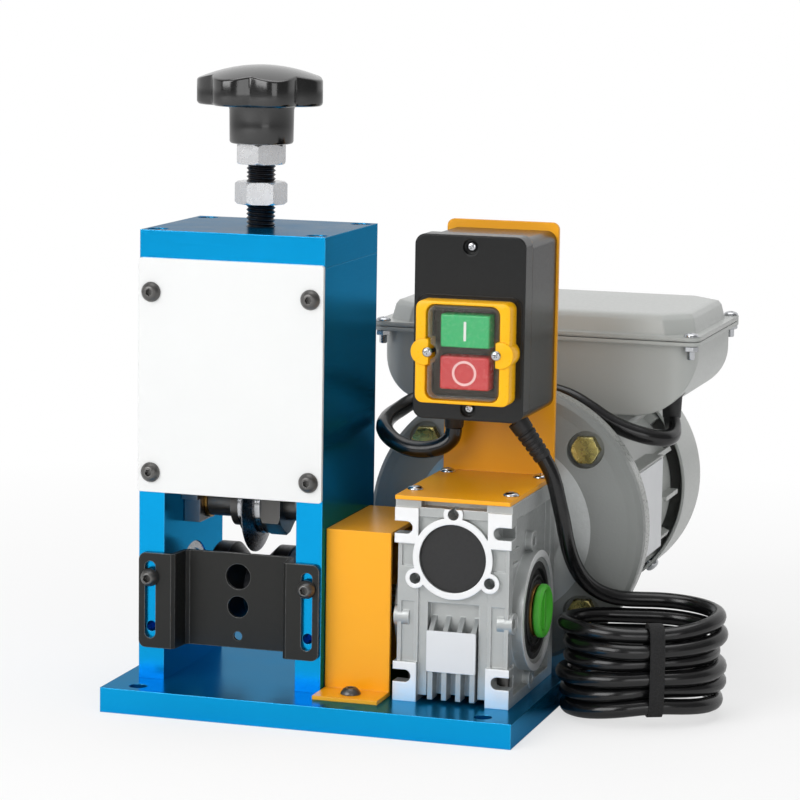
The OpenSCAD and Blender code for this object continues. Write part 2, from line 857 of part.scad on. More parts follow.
module wire_guide() {
    y0 = tower_y0 - guide_gap - guide_t;
    slot_x = tower_w / 2 - ear_slot_inset;
    slot_low = ear_slot_low + ear_slot_w / 2;
    slot_high = guide_h - ear_slot_high - ear_slot_w / 2;
    color(black) translate([tower_x, y0, guide_z]) difference() {
        intersection() {
            guide_section(guide_h);
            translate([0, 0, guide_h / 2]) facing(-1, guide_depth + guide_t + 1)
                rounded(tower_w - 2 * ear_inset, guide_h, guide_corner_r);
        }
        for (sx = [-1, 1]) {
            translate([sx * slot_x, 0, slot_low]) along_y(-1, guide_t + 1, ear_slot_w);
            translate([sx * slot_x, 0, slot_high]) along_y(-1, guide_t + 1, ear_slot_w);
            translate([sx * slot_x - ear_slot_w / 2, -1, slot_low])
                cube([ear_slot_w, guide_t + 2, slot_high - slot_low]);
        }
        for (i = [0 : len(wire_hole_d) - 1])
            translate([0, 0, wire_hole_h[i]])
                along_y(guide_depth - 1, guide_depth + guide_t + 1, wire_hole_d[i]);
    }
}

module guide_screws() {
    color(steel) for (sx = [-1, 1])
        translate([tower_x + sx * (tower_w / 2 - ear_slot_inset),
                   tower_y0 - 2 * guide_gap - guide_t, guide_screw_z])
            rotate([90, 0, 0])
                socket_screw(guide_screw_d, cover_screw_l, guide_head_d, guide_head_h);
}

// Feed roller and its drive
module feed_roller() {
    r = roller_d / 2;
    floor_r = r - groove_depth;
    half = roller_w / 2;
    color(black) translate([tower_x, axis_y, roller_z]) rotate([0, 90, 0]) rotate_extrude($fn = 96)
        polygon([
            [shaft_d / 2 + screw_gap, -half], [r - 0.8, -half], [r, -half + 0.8],
            [r, -groove_half], [floor_r, -groove_floor], [floor_r, groove_floor],
            [r, groove_half], [r, half - 0.8], [r - 0.8, half], [shaft_d / 2 + screw_gap, half]
        ]);
}

module roller_shaft() {
    step_x = tower_x1 + 4;
    color(steel) translate([0, axis_y, roller_z]) {
        along_x(tower_x0 + 0.5, step_x, shaft_d);
        along_x(step_x - 1, gear_x + hub_w / 2 - 7, output_bore);
    }
}

module shaft_spacers() {
    color(steel) translate([tower_x, axis_y, roller_z]) difference() {
        for (sx = [-1, 1]) mirror([sx < 0 ? 1 : 0, 0, 0])
            along_x(roller_w / 2 + seat_gap, inner_half - slide_gap, spacer_d);
        along_x(-inner_half, inner_half, shaft_d + 2 * screw_gap);
    }
}

module worm_wheel() {
    half = hub_w / 2 - 0.2;
    root_r = wheel_tip_r - tooth_h;
    pitch = 360 / wheel_teeth;
    color("goldenrod") translate([gear_x, axis_y, roller_z]) difference() {
        union() {
            along_x(-half, half, hollow_shaft_d);
            rotate([0, 90, 0]) translate([0, 0, -wheel_w / 2]) linear_extrude(wheel_w)
                polygon([
                    for (i = [0 : wheel_teeth - 1])
                        let (a = i * pitch)
                        each [
                            root_r * [cos(a - pitch * 0.42), sin(a - pitch * 0.42)],
                            wheel_tip_r * [cos(a - pitch * 0.16), sin(a - pitch * 0.16)],
                            wheel_tip_r * [cos(a + pitch * 0.16), sin(a + pitch * 0.16)],
                            root_r * [cos(a + pitch * 0.42), sin(a + pitch * 0.42)]
                        ]
                ]);
        }
        along_x(-half - 1, half + 1, output_bore + 2 * run_gap);
    }
}

module bore_plug() {
    face = hub_w / 2 + 0.3;
    color("limegreen") translate([gear_x, axis_y, roller_z]) rotate([0, 90, 0]) {
        translate([0, 0, hub_w / 2 - 6]) cylinder(d = output_bore - 0.1, h = 7);
        translate([0, 0, face]) rotate_extrude() polygon([
            [0, 0], [12, 0], [13, 0.8], [12.6, 2], [10.5, 3.1], [7, 3.8], [0, 4.1]
        ]);
    }
}

// Cast housing of the worm gearbox, with the cone that carries the motor
module boss_outline() {
    circle(r = worm_bore_r + boss_wall);
    for (a = [90, 210, 330]) rotate(a) {
        translate([lobe_circle_r, 0]) circle(r = lobe_r);
        translate([12, -lobe_r * 0.8]) square([lobe_circle_r - 12, lobe_r * 1.6]);
    }
}

module front_pads() {
    for (sx = [-1, 1], z = [top_pad_z, low_pad_z])
        translate([sx > 0 ? housing_w / 2 - pad_w : -housing_w / 2, housing_y0, base_t + z[0]])
            cube([pad_w, pad_t, z[1] - z[0]]);
}

module pad_slots() {
    for (sx = [-1, 1], z = [top_slot_z, low_slot_z]) {
        end_x = sx * (housing_w / 2 - pad_slot_l + pad_slot_h / 2);
        translate([end_x, 0, base_t + z]) along_y(housing_y0 - 1, housing_y0 + pad_t + 4, pad_slot_h);
        translate([sx > 0 ? end_x : end_x - pad_slot_l, housing_y0 - 1, base_t + z - pad_slot_h / 2])
            cube([pad_slot_l, pad_t + 5, pad_slot_h]);
        // room behind the pad for the head of its bolt
        translate([sx > 0 ? housing_w / 2 - 10 : -housing_w / 2 - 1, housing_y0 + pad_t,
                   base_t + z - 6])
            cube([11, 11, 12]);
    }
}

module side_strips() {
    w = pad_w - 1.3;
    for (sx = [-1, 1]) {
        x0 = sx > 0 ? housing_w / 2 - pad_w : -housing_w / 2 + 1.3;
        difference() {
            translate([x0, housing_y0 + 2, base_t + low_pad_z[1] - 1])
                cube([w, pad_t - 2, top_pad_z[0] - low_pad_z[1] + 2]);
            for (z = [[low_pad_z[1], 48], [65, top_pad_z[0] - 1]])
                translate([x0 + 2, housing_y0, base_t + z[0]]) cube([w - 4, 5, z[1] - z[0]]);
        }
    }
}

module housing_fins() {
    for (i = [0 : fin_count - 1])
        translate([(i - (fin_count - 1) / 2) * fin_pitch - housing_fin_t / 2, 0, 0])
            rotate([90, 0, 90]) linear_extrude(housing_fin_t) polygon([
                [housing_y0 + 1, base_t + 1.6], [housing_y0 + 1, base_t + 34],
                [housing_y0 + 8, base_t + 41], [housing_y0 + 9, base_t + 41],
                [housing_y0 + 9, base_t + 1.6]
            ]);
}

module cone_profile(grow) {
    y = housing_y1;
    polygon([
        [0, y - 0.3], [27 - grow, y - 0.3], [31 - grow, y + 2 + grow / 2],
        [flange_r - 7 - grow, flange_y0 - 1 + grow / 3], [flange_r - 2, flange_y0 - 0.4 + grow],
        [flange_r - grow, flange_y0 + 1.5 + grow], [flange_r - grow, flange_y1], [0, flange_y1]
    ]);
}

module gearbox_housing() {
    half = housing_w / 2;
    rail_z = housing_top - rail_h;
    color(cast_grey) translate([gear_x, 0, 0]) difference() {
        union() {
            translate([-core_half, housing_y0 + 3, base_t + 3])
                cube([2 * core_half, housing_y1 - housing_y0 - 3, housing_h - 5]);
            // top rail, foot rails and the back frame
            translate([-half, housing_y0 + 1.2, rail_z])
                cube([housing_w, housing_y1 - housing_y0 - 1.2, rail_h]);
            for (sx = [-1, 1])
                translate([sx > 0 ? half - pad_w : -half, housing_y0, base_t])
                    cube([pad_w, housing_y1 - housing_y0, 5]);
            translate([-half, housing_y1 - 8, base_t]) cube([housing_w, 8, housing_h]);
            front_pads();
            side_strips();
            translate([0, 0, worm_z]) facing(housing_y0, housing_y0 + 12) boss_outline();
            // short ribs between the front frame and the hub
            for (sx = [-1, 1], z = [66, 73])
                translate([sx > 0 ? core_half - 1 : -core_half - 1.6, housing_y0 + pad_t - 1,
                           base_t + z])
                    cube([2.6, 13, 1.5]);
            translate([0, axis_y, roller_z]) {
                along_x(-hub_w / 2, hub_w / 2, 2 * hub_r);
                for (sx = [0, 180], a = [0 : 90 : 270]) rotate(sx)
                    translate([0, side_boss_r * cos(a), side_boss_r * sin(a)])
                        along_x(core_half - 4, half + 0.5, side_boss_d);
            }
            translate([0, 0, worm_z]) revolved_y() cone_profile(0);
        }
        // front recess between the fins
        translate([-12.5, housing_y0 - 1, base_t - 1]) cube([25, 9, 49]);
        translate([0, 0, base_t]) facing(housing_y0 - 1, housing_y1 - 8)
            polygon([[-17.5, -1], [-14.5, 3], [14.5, 3], [17.5, -1]]);
        // dark notch under the front edge of the bracket
        translate([-16, housing_y0 - 1, housing_top - 3.5]) cube([32, 8, 4]);
        pad_slots();
        for (a = [90, 210, 330])
            translate([lobe_circle_r * cos(a), 0, worm_z + lobe_circle_r * sin(a)])
                along_y(housing_y0 - 1, housing_y0 + 10, lobe_hole_d);
        for (sx = [-1, 1], a = [0 : 90 : 270])
            translate([sx * half, axis_y + side_boss_r * cos(a), roller_z + side_boss_r * sin(a)])
                rotate([0, 90 * sx, 0]) translate([0, 0, -7]) cylinder(d = 5, h = 9);
        // bores for the output shaft and for the worm
        translate([0, axis_y, roller_z]) {
            along_x(-hub_w / 2 - 1, hub_w / 2 + 1, 2 * output_bore_r);
            for (sx = [-1, 1])
                translate([sx * hub_w / 2, 0, 0]) rotate([0, 90 * sx, 0])
                    translate([0, 0, -1]) cylinder(r = output_bore_r + 2, h = 2);
        }
        translate([0, 0, worm_z]) {
            along_y(housing_y0 - 1, housing_y1 + 2, 2 * worm_bore_r);
            revolved_y() polygon([
                [0, housing_y1 + 1], [20, housing_y1 + 1], [spigot_r - 6, flange_y1 - 5],
                [spigot_r - 2, flange_y1 + 1], [0, flange_y1 + 1]
            ]);
            along_y(flange_y1 - spigot_h - 0.3, flange_y1 + 1, 2 * spigot_r + 2 * screw_gap);
            for (a = [45 : 90 : 315])
                translate([bolt_circle / 2 * cos(a), 0, bolt_circle / 2 * sin(a)]) {
                    along_y(housing_y1, flange_y1 + 1, bolt_d + 2 * screw_gap);
                    along_y(housing_y1 - 2, flange_y0 + 1, 18);
                }
        }
        for (sx = [-1, 1], y = bracket_hole_y)
            translate([sx * bracket_hole_x, housing_y0 + y, housing_top - 7])
                cylinder(d = bracket_screw_d + 2 * screw_gap, h = 8);
        translate([-gear_x, 0, 0]) gearbox_screw_spots()
            translate([0, 0, base_t - 1])
                cylinder(d = cap_screw_d + 2 * screw_gap,
                         h = cap_screw_l + counterbore_h - base_t + 2);
    }
    color(cast_grey) translate([gear_x, 0, 0]) housing_fins();
}

module blank_plates() {
    color("whitesmoke") {
        translate([gear_x - 0.1, 0, plate_z])
            facing(housing_y0 + 1 - plate_sheet, housing_y0 + 1) rounded(plate_w, plate_h, 0.8);
        translate([gear_x + name_pad_x, shield_y1 + 48, worm_z]) rotate([0, 0, 90])
            facing(-plate_sheet, 0) rounded(60, 2 * name_pad_half - 2, 1.5);
    }
}

module drive_bearings() {
    color(steel) {
        for (sx = [-1, 1])
            translate([gear_x + sx * (hub_w / 2 - seal_w - 0.5 - output_bearing_w / 2), axis_y,
                       roller_z])
                ball_bearing(2 * output_bore_r - 0.1, hollow_shaft_d + 2 * run_gap,
                             output_bearing_w);
        for (y = [axis_y - 26.5, axis_y + 27])
            translate([gear_x, y, worm_z]) rotate([0, 0, 90])
                ball_bearing(2 * worm_bore_r - 0.1, worm_journal_d + 2 * run_gap,
                             worm_bearing_w);
        for (y = [shield_y1 + 3, frame_y1 - 7])
            translate([gear_x, y, worm_z]) rotate([0, 0, 90])
                ball_bearing(motor_bearing_d, motor_shaft_d + 2 * run_gap, motor_bearing_w);
    }
}

module oil_seals() {
    color(black) {
        for (sx = [-1, 1]) translate([gear_x, axis_y, roller_z]) mirror([sx < 0 ? 1 : 0, 0, 0])
            difference() {
                along_x(hub_w / 2 - seal_w, hub_w / 2 - 1, 2 * output_bore_r - 0.1);
                along_x(hub_w / 2 - seal_w - 1, hub_w / 2, hollow_shaft_d + 2 * run_gap);
                translate([hub_w / 2 - 1, 0, 0]) rotate([0, 90, 0]) rotate_extrude()
                    polygon([[14.5, -1.6], [20, -1.6], [21.5, 1], [14.5, 1]]);
            }
        translate([gear_x, 0, worm_z]) {
            along_y(housing_y0 + 1.5, housing_y0 + 5, 2 * worm_bore_r - 0.1);
            difference() {
                along_y(axis_y + 33, housing_y1 + 1, 2 * worm_bore_r - 0.1);
                along_y(axis_y + 30, housing_y1 + 2, worm_journal_d + 2 * run_gap);
            }
        }
    }
}

module flange_bolts() {
    color("khaki") translate([gear_x, 0, worm_z]) for (a = [45 : 90 : 315])
        translate([bolt_circle / 2 * cos(a), flange_y0 + 1, bolt_circle / 2 * sin(a)])
            rotate([90, 0, 0]) {
                intersection() {
                    hex_prism(bolt_head_af, bolt_head_h);
                    cylinder(d1 = bolt_head_af + 9, d2 = bolt_head_af + 0.3, h = bolt_head_h);
                }
                translate([0, 0, -(shield_y1 - flange_y0 - 2.5)])
                    cylinder(d = bolt_d, h = shield_y1 - flange_y0 - 2);
            }
}

// Motor
module worm_shaft() {
    y0 = axis_y - 32;
    y1 = flange_y1 - 9;
    color(steel) translate([gear_x, 0, worm_z]) difference() {
        union() {
            along_y(y0, axis_y - 20.5, worm_journal_d);
            along_y(axis_y - 21, axis_y + 20.5, worm_root_d);
            along_y(axis_y + 20, y1, worm_journal_d);
        }
        along_y(y1 - 16, y1 + 1, input_d + 2 * screw_gap);
    }
}

module motor_rotor() {
    front_y = flange_y1 - 9 - 15;
    color(steel) translate([gear_x, 0, worm_z]) {
        along_y(front_y, shield_y1 - 3, input_d);
        along_y(shield_y1 - 3.5, frame_y1 - 1, motor_shaft_d);
        along_y(frame_y1 - 1.5, cowl_y0 + 24, input_d);
        along_y(stator_y, stator_y + stator_l, 2 * bore_half - 2 * air_gap);
    }
}

module fan() {
    y0 = cowl_y0 + 6;
    color(black) translate([gear_x, 0, worm_z]) difference() {
        union() {
            along_y(y0, y0 + 16, 26);
            along_y(y0, y0 + 2, 92);
            for (a = [0 : 45 : 315]) rotate([0, a, 0])
                translate([11, y0 + 1, -1]) cube([34, 13, 2]);
        }
        along_y(y0 - 1, y0 + 17, input_d + 2 * screw_gap);
    }
}

module motor_front_shield() {
    color(motor_grey) translate([gear_x, 0, worm_z]) difference() {
        union() {
            along_y(flange_y1, shield_y1, 2 * flange_r);
            along_y(flange_y1 - spigot_h, shield_y1, 2 * spigot_r);
            along_y(shield_y1 - 1, shield_y1 + 9, motor_bearing_d + 10);
            along_y(shield_y1 - 1, shield_y1 + 4, 2 * (frame_r - frame_wall) - 0.2);
        }
        along_y(flange_y1 - 4, shield_y1 + 10, motor_shaft_d + 4);
        along_y(shield_y1 - 2.1, shield_y1 + 10, motor_bearing_d + 2 * screw_gap);
        along_y(flange_y1 - 4, shield_y1 - 6, 60);
        for (a = [45 : 90 : 315])
            translate([bolt_circle / 2 * cos(a), 0, bolt_circle / 2 * sin(a)])
                along_y(flange_y1 - 4, shield_y1 + 1, bolt_d + 2 * screw_gap);
    }
}

module motor_frame() {
    color(motor_grey) translate([gear_x, 0, worm_z]) difference() {
        union() {
            along_y(shield_y1, frame_y1, 2 * frame_r);
            for (i = [0 : motor_fins - 1]) rotate([0, 360 * i / motor_fins, 0])
                translate([frame_r - 1, shield_y1 + 3, -motor_fin_t / 2])
                    cube([fin_r - frame_r + 1, frame_l - 6, motor_fin_t]);
            translate([frame_r - 12, shield_y1 + 14, -name_pad_half])
                cube([name_pad_x - frame_r + 12, 68, 2 * name_pad_half]);
            // curved pad that the terminal box sits on
            intersection() {
                along_y(box_y - tub_d / 2 + 4, frame_y1 - 4, 2 * (saddle_r - 0.1));
                translate([-box_pad_half, shield_y1, frame_r - 8])
                    cube([2 * box_pad_half, frame_l, 20]);
            }
        }
        along_y(shield_y1 - 1, frame_y1 + 1, 2 * (frame_r - frame_wall));
        translate([name_pad_x, shield_y1 + 10, -name_pad_half])
            cube([5, 76, 2 * name_pad_half]);
    }
}

module stator() {
    outer_r = frame_r - frame_wall - screw_gap;
    color("peru") translate([gear_x, 0, worm_z]) difference() {
        union() {
            along_y(stator_y, stator_y + stator_l, 2 * outer_r);
            along_y(stator_y - winding_l, stator_y + stator_l + winding_l, 2 * outer_r - 6);
        }
        along_y(stator_y - winding_l - 1, stator_y + stator_l + winding_l + 1, 2 * bore_half);
    }
}

module motor_rear_shield() {
    color(motor_grey) translate([gear_x, 0, worm_z]) difference() {
        union() {
            along_y(frame_y1, frame_y1 + 4, 2 * frame_r - 1);
            along_y(frame_y1 - 3, frame_y1 + 1, 2 * (frame_r - frame_wall) - 0.2);
            along_y(frame_y1 - 12, frame_y1, motor_bearing_d + 10);
            for (a = [45 : 90 : 315]) rotate([0, a, 0])
                translate([frame_r - 8, frame_y1, -6]) cube([lug_r - frame_r + 7, lug_l, 12]);
        }
        along_y(frame_y1 - 13, frame_y1 - 1.9, motor_bearing_d + 2 * screw_gap);
        along_y(frame_y1 - 13, frame_y1 + 5, motor_shaft_d + 4);
        for (a = [45 : 90 : 315]) rotate([0, a, 0])
            translate([0, cowl_screw_y, 0]) along_x(frame_r - 4, lug_r + 1, 4 + 2 * screw_gap);
    }
}

module fan_cowl() {
    flat_r = cowl_r - cowl_round;
    color(motor_grey) translate([gear_x, 0, worm_z]) difference() {
        revolved_y() difference() {
            union() {
                translate([0, cowl_y0]) square([cowl_r, cowl_l - cowl_round]);
                translate([0, cowl_y1 - cowl_round - 1]) square([flat_r, cowl_round + 1]);
                translate([flat_r, cowl_y1 - cowl_round]) circle(r = cowl_round);
            }
            translate([0, cowl_y0 - 1])
                square([cowl_r - cowl_wall, cowl_l - cowl_round + 1]);
            translate([0, cowl_y1 - cowl_round - 1])
                square([flat_r, cowl_round + 1 - cowl_wall]);
            translate([flat_r, cowl_y1 - cowl_round]) circle(r = cowl_round - cowl_wall);
            translate([-cowl_r, cowl_y0 - 1]) square([cowl_r, cowl_l + 2]);
        }
        // air slots in the back
        for (a = [0 : 30 : 330]) rotate([0, a, 0]) {
            translate([14, cowl_y1 - 3, -2]) cube([24, 4, 4]);
            for (x = [14, 38]) translate([x, 0, 0]) along_y(cowl_y1 - 3, cowl_y1 + 1, 4);
        }
        for (a = [45 : 90 : 315]) rotate([0, a, 0])
            translate([0, cowl_screw_y, 0]) along_x(cowl_r - 8, cowl_r + 2, 4 + 2 * screw_gap);
    }
}

// Terminal box on the motor, with what it holds
module tub_shape(w, d, bottom, r) {
    intersection() {
        translate([0, box_y, 0]) facing(-d / 2 - 1, d / 2 + 1) union() {
            translate([-w / 2, bottom + r]) square([w, rim_z - bottom - r]);
            translate([-w / 2 + r, bottom]) square([w - 2 * r, r + 1]);
            for (sx = [-1, 1]) translate([sx * (w / 2 - r), bottom + r]) circle(r = r);
        }
        translate([0, box_y, bottom - 1]) linear_extrude(rim_z - bottom + 1) rounded(w, d, tub_corner);
    }
}

module box_screw_spots() {
    for (sx = [-1, 1], sy = [-1, 1])
        translate([gear_x + sx * (box_w / 2 - box_screw_inset),
                   box_y + sy * (box_d / 2 - box_screw_inset), 0])
            children();
}

module terminal_box() {
    color(motor_grey) difference() {
        translate([gear_x, 0, 0]) union() {
            difference() {
                tub_shape(tub_w, tub_d, tub_bottom, tub_round);
                difference() {
                    translate([0, 0, 1])
                        tub_shape(tub_w - 2 * box_wall, tub_d - 2 * box_wall,
                                  tub_bottom + box_wall - 1, tub_round - box_wall);
                    translate([0, 0, worm_z])
                        along_y(box_y - tub_d, box_y + tub_d, 2 * (saddle_r + box_wall));
                }
            }
            translate([0, box_y, rim_z]) linear_extrude(rim_t) difference() {
                rounded(box_w, box_d, 6.5);
                rounded(tub_w - 2 * box_wall, tub_d - 2 * box_wall, tub_corner - 2);
            }
        }
        translate([gear_x, 0, worm_z]) along_y(box_y - tub_d, box_y + tub_d, 2 * saddle_r);
        translate([lead_end[0], lead_end[1], tub_bottom - 5]) cylinder(d = grommet_d, h = 20);
        box_screw_spots() translate([0, 0, rim_z - 1]) cylinder(d = 4 + 2 * screw_gap, h = 5);
    }
}

module lid_outline(inset, cut) {
    w = box_w / 2 - 5 - inset;
    d = box_d / 2 - 5 - inset;
    polygon([
        [-w + cut, -d], [w - cut, -d], [w, -d + cut], [w, d - cut],
        [w - cut, d], [-w + cut, d], [-w, d - cut], [-w, -d + cut]
    ]);
}

module lid_dome(inset, top) {
    hull() {
        translate([0, 0, -0.1]) linear_extrude(0.2) lid_outline(inset, 13);
        translate([0, 0, top * 0.72]) linear_extrude(0.1) lid_outline(inset + 1.6, 13);
        translate([0, 0, top * 0.93]) linear_extrude(0.1) lid_outline(inset + 3, 13);
        translate([0, 0, top - 0.1]) linear_extrude(0.1) lid_outline(inset + 5.5, 13);
    }
}

module terminal_lid() {
    z0 = rim_z + rim_t + gasket_t;
    color(motor_grey) difference() {
        translate([gear_x, box_y, z0]) difference() {
            union() {
                linear_extrude(lid_rim_t) rounded(box_w, box_d, 6.5);
                translate([0, 0, lid_rim_t]) lid_dome(0, lid_h);
            }
            translate([0, 0, -0.5]) lid_dome(2, lid_h);
        }
        box_screw_spots() translate([0, 0, z0 - 1]) cylinder(d = 4 + 2 * screw_gap, h = 5);
    }
}

module capacitor() {
    color(black) translate([gear_x - tub_w / 2 + tub_round, box_y, tub_bottom + box_wall + cap_r + 0.8])
        along_y(-cap_l / 2, cap_l / 2, 2 * cap_r);
}

module terminal_board() {
    side_x = tub_w / 2 - tub_round - 17;
    x0 = gear_x + side_x;
    // above the tub's floor and the curve over the motor
    z0 = max(tub_bottom + box_wall, worm_z + sqrt(pow(saddle_r + box_wall, 2) - pow(side_x, 2))) + 0.6;
    color("saddlebrown") difference() {
        translate([x0, box_y - 25, z0]) cube([22, 50, 12]);
        for (i = [0 : 4]) translate([x0 - 1, box_y - 21 + i * 9, z0 + 6]) cube([24, 6, 8]);
    }
    color(steel) for (i = [0 : 4], x = [5, 17])
        translate([x0 + x, box_y - 18 + i * 9, z0 + 6]) cylinder(d = 4.5, h = 3);
}

module lead_grommets() {
    color(black) {
        translate([lead_end[0], lead_end[1], lead_end[2]])
            cylinder(d = grommet_d - 0.2, h = 16);
        translate([lead_points[0][0], lead_points[0][1], lead_points[0][2]])
            cylinder(d1 = 11, d2 = grommet_d - 0.2, h = switch_z0 - lead_points[0][2] + 5);
    }
}

module case_screws() {
    color(steel) {
        translate([gear_x, housing_y0, bracket_z + bracket_t])
            for (sx = [-1, 1], y = bracket_hole_y)
                translate([sx * bracket_hole_x, y, 0]) domed_screw(bracket_screw_d, 8, 7.6, 2.4);
        translate([gear_x, cowl_screw_y, worm_z]) for (a = [45 : 90 : 315]) rotate([0, a, 0])
            translate([cowl_r, 0, 0]) rotate([0, 90, 0]) domed_screw(4, 8, 8, 2.6);
        box_screw_spots() {
            translate([0, 0, rim_z + rim_t + gasket_t + lid_rim_t]) domed_screw(4, 12, 8, 2.8);
            translate([0, 0, rim_z - 3.2]) nut(7, 3.1, 4 + 2 * screw_gap);
        }
    }
}

// Switch bracket and switch box
module switch_bracket() {
    x0 = gear_x - bracket_w / 2;
    color(orange) difference() {
        union() {
            translate([x0, foot_y0, bracket_z])
                cube([bracket_w, plate_y1 - foot_y0, bracket_t]);
            translate([gear_x, 0, bracket_z + bracket_h / 2]) facing(plate_y0, plate_y1) {
                rounded(bracket_w, bracket_h, 3.5);
                translate([-bracket_w / 2, -bracket_h / 2]) square([bracket_w, 20]);
            }
        }
        for (sx = [-1, 1], y = bracket_hole_y)
            translate([gear_x + sx * bracket_hole_x, housing_y0 + y, bracket_z - 1])
                cylinder(d = bracket_screw_d + 2 * screw_gap, h = bracket_t + 2);
    }
}

module switch_case() {
    inner_w = switch_w - 2 * case_wall;
    inner_h = switch_h - 2 * case_wall;
    color(black) difference() {
        translate([gear_x, 0, switch_z]) {
            difference() {
                facing(switch_y0, switch_y1) rounded(switch_w, switch_h, corner_r);
                facing(switch_y0 - 1, switch_y1 - case_wall)
                    rounded(inner_w, inner_h, corner_r - 2);
            }
            intersection() {
                for (z = switch_screw_z) translate([0, 0, z - switch_z])
                    along_y(switch_y0, switch_y1 - 1, 9);
                facing(switch_y0, switch_y1) rounded(switch_w, switch_h, corner_r);
            }
        }
        for (z = switch_screw_z) translate([gear_x, 0, z])
            along_y(switch_y0 - 1, switch_y0 + 16, switch_screw_d + 2 * screw_gap);
        translate([relief_top[0], relief_top[1], switch_z0 - 1]) cylinder(d = 10.2, h = 6);
        translate([lead_points[0][0], lead_points[0][1], switch_z0 - 1])
            cylinder(d = grommet_d, h = 6);
    }
}

module switch_cover() {
    h = switch_h + cover_lip;
    z = switch_z0 + h / 2;
    color(black) difference() {
        translate([gear_x, 0, z]) {
            difference() {
                facing(switch_cover_y0, switch_y0) rounded(switch_w, h, corner_r);
                facing(switch_cover_y0 + case_wall, switch_y0 + 1)
                    rounded(switch_w - 2 * case_wall, h - 2 * case_wall, corner_r - 2);
            }
            for (sz = switch_screw_z) translate([0, 0, sz - z])
                intersection() {
                    along_y(switch_cover_y0 + 1, switch_y0, 10);
                    translate([-switch_w / 2, switch_cover_y0, -(sz - z) - h / 2])
                        cube([switch_w, switch_cover_d, h]);
                }
        }
        translate([gear_x, 0, bezel_z]) facing(switch_cover_y0 - 1, switch_cover_y0 + case_wall + 1)
            square([window_w - 1, window_h - 2], center = true);
        for (sz = switch_screw_z) translate([gear_x, 0, sz]) {
            along_y(switch_cover_y0 - 1, switch_y0 + 1, switch_screw_d + 2 * screw_gap);
            along_y(switch_cover_y0 - 1, switch_cover_y0 + 3, 7.4);
        }
        for (sx = [-1, 1]) translate([gear_x + sx * ear_x, 0, bezel_z])
            along_y(switch_cover_y0 - 1, switch_cover_y0 + 1, bezel_screw_d + 2 * screw_gap);
    }
}

module switch_screws() {
    color(steel) {
        for (sz = switch_screw_z) translate([gear_x, switch_cover_y0 + 3, sz]) rotate([90, 0, 0])
            domed_screw(switch_screw_d, switch_cover_d + 8, 7, 2.2);
        for (sx = [-1, 1])
            translate([gear_x + sx * ear_x, switch_cover_y0 - bezel_d - ear_proud, bezel_z])
                rotate([90, 0, 0]) domed_screw(bezel_screw_d, bezel_d + ear_proud, 5.2, 1.8);
    }
}

module ear_outline(gap) {
    for (sx = [-1, 1]) {
        translate([sx * ear_x, 0]) circle(r = ear_r + gap);
        translate([sx * ear_lobe_x, 0]) circle(r = ear_lobe_r + gap);
    }
}

module button_bezel() {
    y0 = switch_cover_y0 - bezel_d;
    color(yellow) translate([gear_x, 0, bezel_z]) difference() {
        union() {
            difference() {
                hull() {
                    facing(switch_cover_y0 - 3, switch_cover_y0) rounded(bezel_w, bezel_h, 5);
                    facing(y0, y0 + 0.5) rounded(bezel_w - 4, bezel_h - 4, 4);
                }
                facing(y0 - 1, switch_cover_y0 + 1) rounded(window_w, window_h, 4);
            }
            facing(y0 - ear_proud, switch_cover_y0) ear_outline(0);
        }
        for (sx = [-1, 1]) translate([sx * ear_x, 0, 0])
            along_y(y0 - 3, switch_cover_y0 + 1, bezel_screw_d + 2 * screw_gap);
    }
}

module boot_outline(inset) {
    difference() {
        rounded(window_w - 0.6 - 2 * inset, window_h - 0.6 - 2 * inset, 3.5);
        ear_outline(0.3 + inset);
    }
}

module clear_boot() {
    y0 = switch_cover_y0 - bezel_d - 0.6;
    color([0.9, 0.95, 1, 0.35]) translate([gear_x, 0, bezel_z]) difference() {
        facing(y0, switch_cover_y0 - 0.1) boot_outline(0);
        facing(y0 + boot_wall, switch_cover_y0) boot_outline(boot_wall);
    }
}

module contact_block() {
    flange_y = switch_cover_y0 + case_wall;
    color("ivory") translate([gear_x, 0, bezel_z]) difference() {
        union() {
            translate([-window_w / 2 + 1, switch_cover_y0 + 0.5, -20.5])
                cube([window_w - 2, 28, 41]);
            translate([-window_w / 2 - 2, flange_y + 0.1, -22]) cube([window_w + 4, 3, 44]);
        }
        for (b = [[start_z, start_h], [stop_z, stop_h]])
            translate([-button_w / 2 - slide_gap, switch_cover_y0 - 1,
                       b[0] - bezel_z - b[1] / 2 - slide_gap])
                cube([button_w + 2 * slide_gap, button_l - 7 + button_travel + 1.6,
                      b[1] + 2 * slide_gap]);
    }
}

module button(z, h, tint) {
    color(tint) translate([gear_x, 0, z])
        facing(button_front, button_front + button_l) rounded(button_w, h, 1);
}

module start_button() {
    button(start_z, start_h, "mediumseagreen");
}

module stop_button() {
    button(stop_z, stop_h, "crimson");
}

// Leads and the power cord
module motor_lead() {
    color(black) tube(lead_points, lead_d, cord_sides);
}

module strain_relief() {
    way = unit(cord_points[0] - relief_top);
    tilt = acos(way[2]);
    turn = atan2(way[1], way[0]);
    color(black) {
        translate([relief_top[0], relief_top[1], switch_z0 - relief_collar_h])
            cylinder(d = relief_collar_d, h = relief_collar_h);
        translate([relief_top[0], relief_top[1], switch_z0 - 1]) cylinder(d = 10, h = 5);
        translate(relief_top) rotate([0, tilt, turn])
            cylinder(d1 = relief_d, d2 = cord_d + 0.6, h = norm(cord_points[0] - relief_top));
    }
}

module power_cord() {
    color(black) tube(cord_points, cord_d, cord_sides);
}

module hank_shape(inset) {
    w = hank_w - 2 * inset;
    square([hank_l - hank_w, w], center = true);
    for (sx = [-1, 1]) translate([sx * (hank_l - hank_w) / 2, 0]) circle(d = w);
}

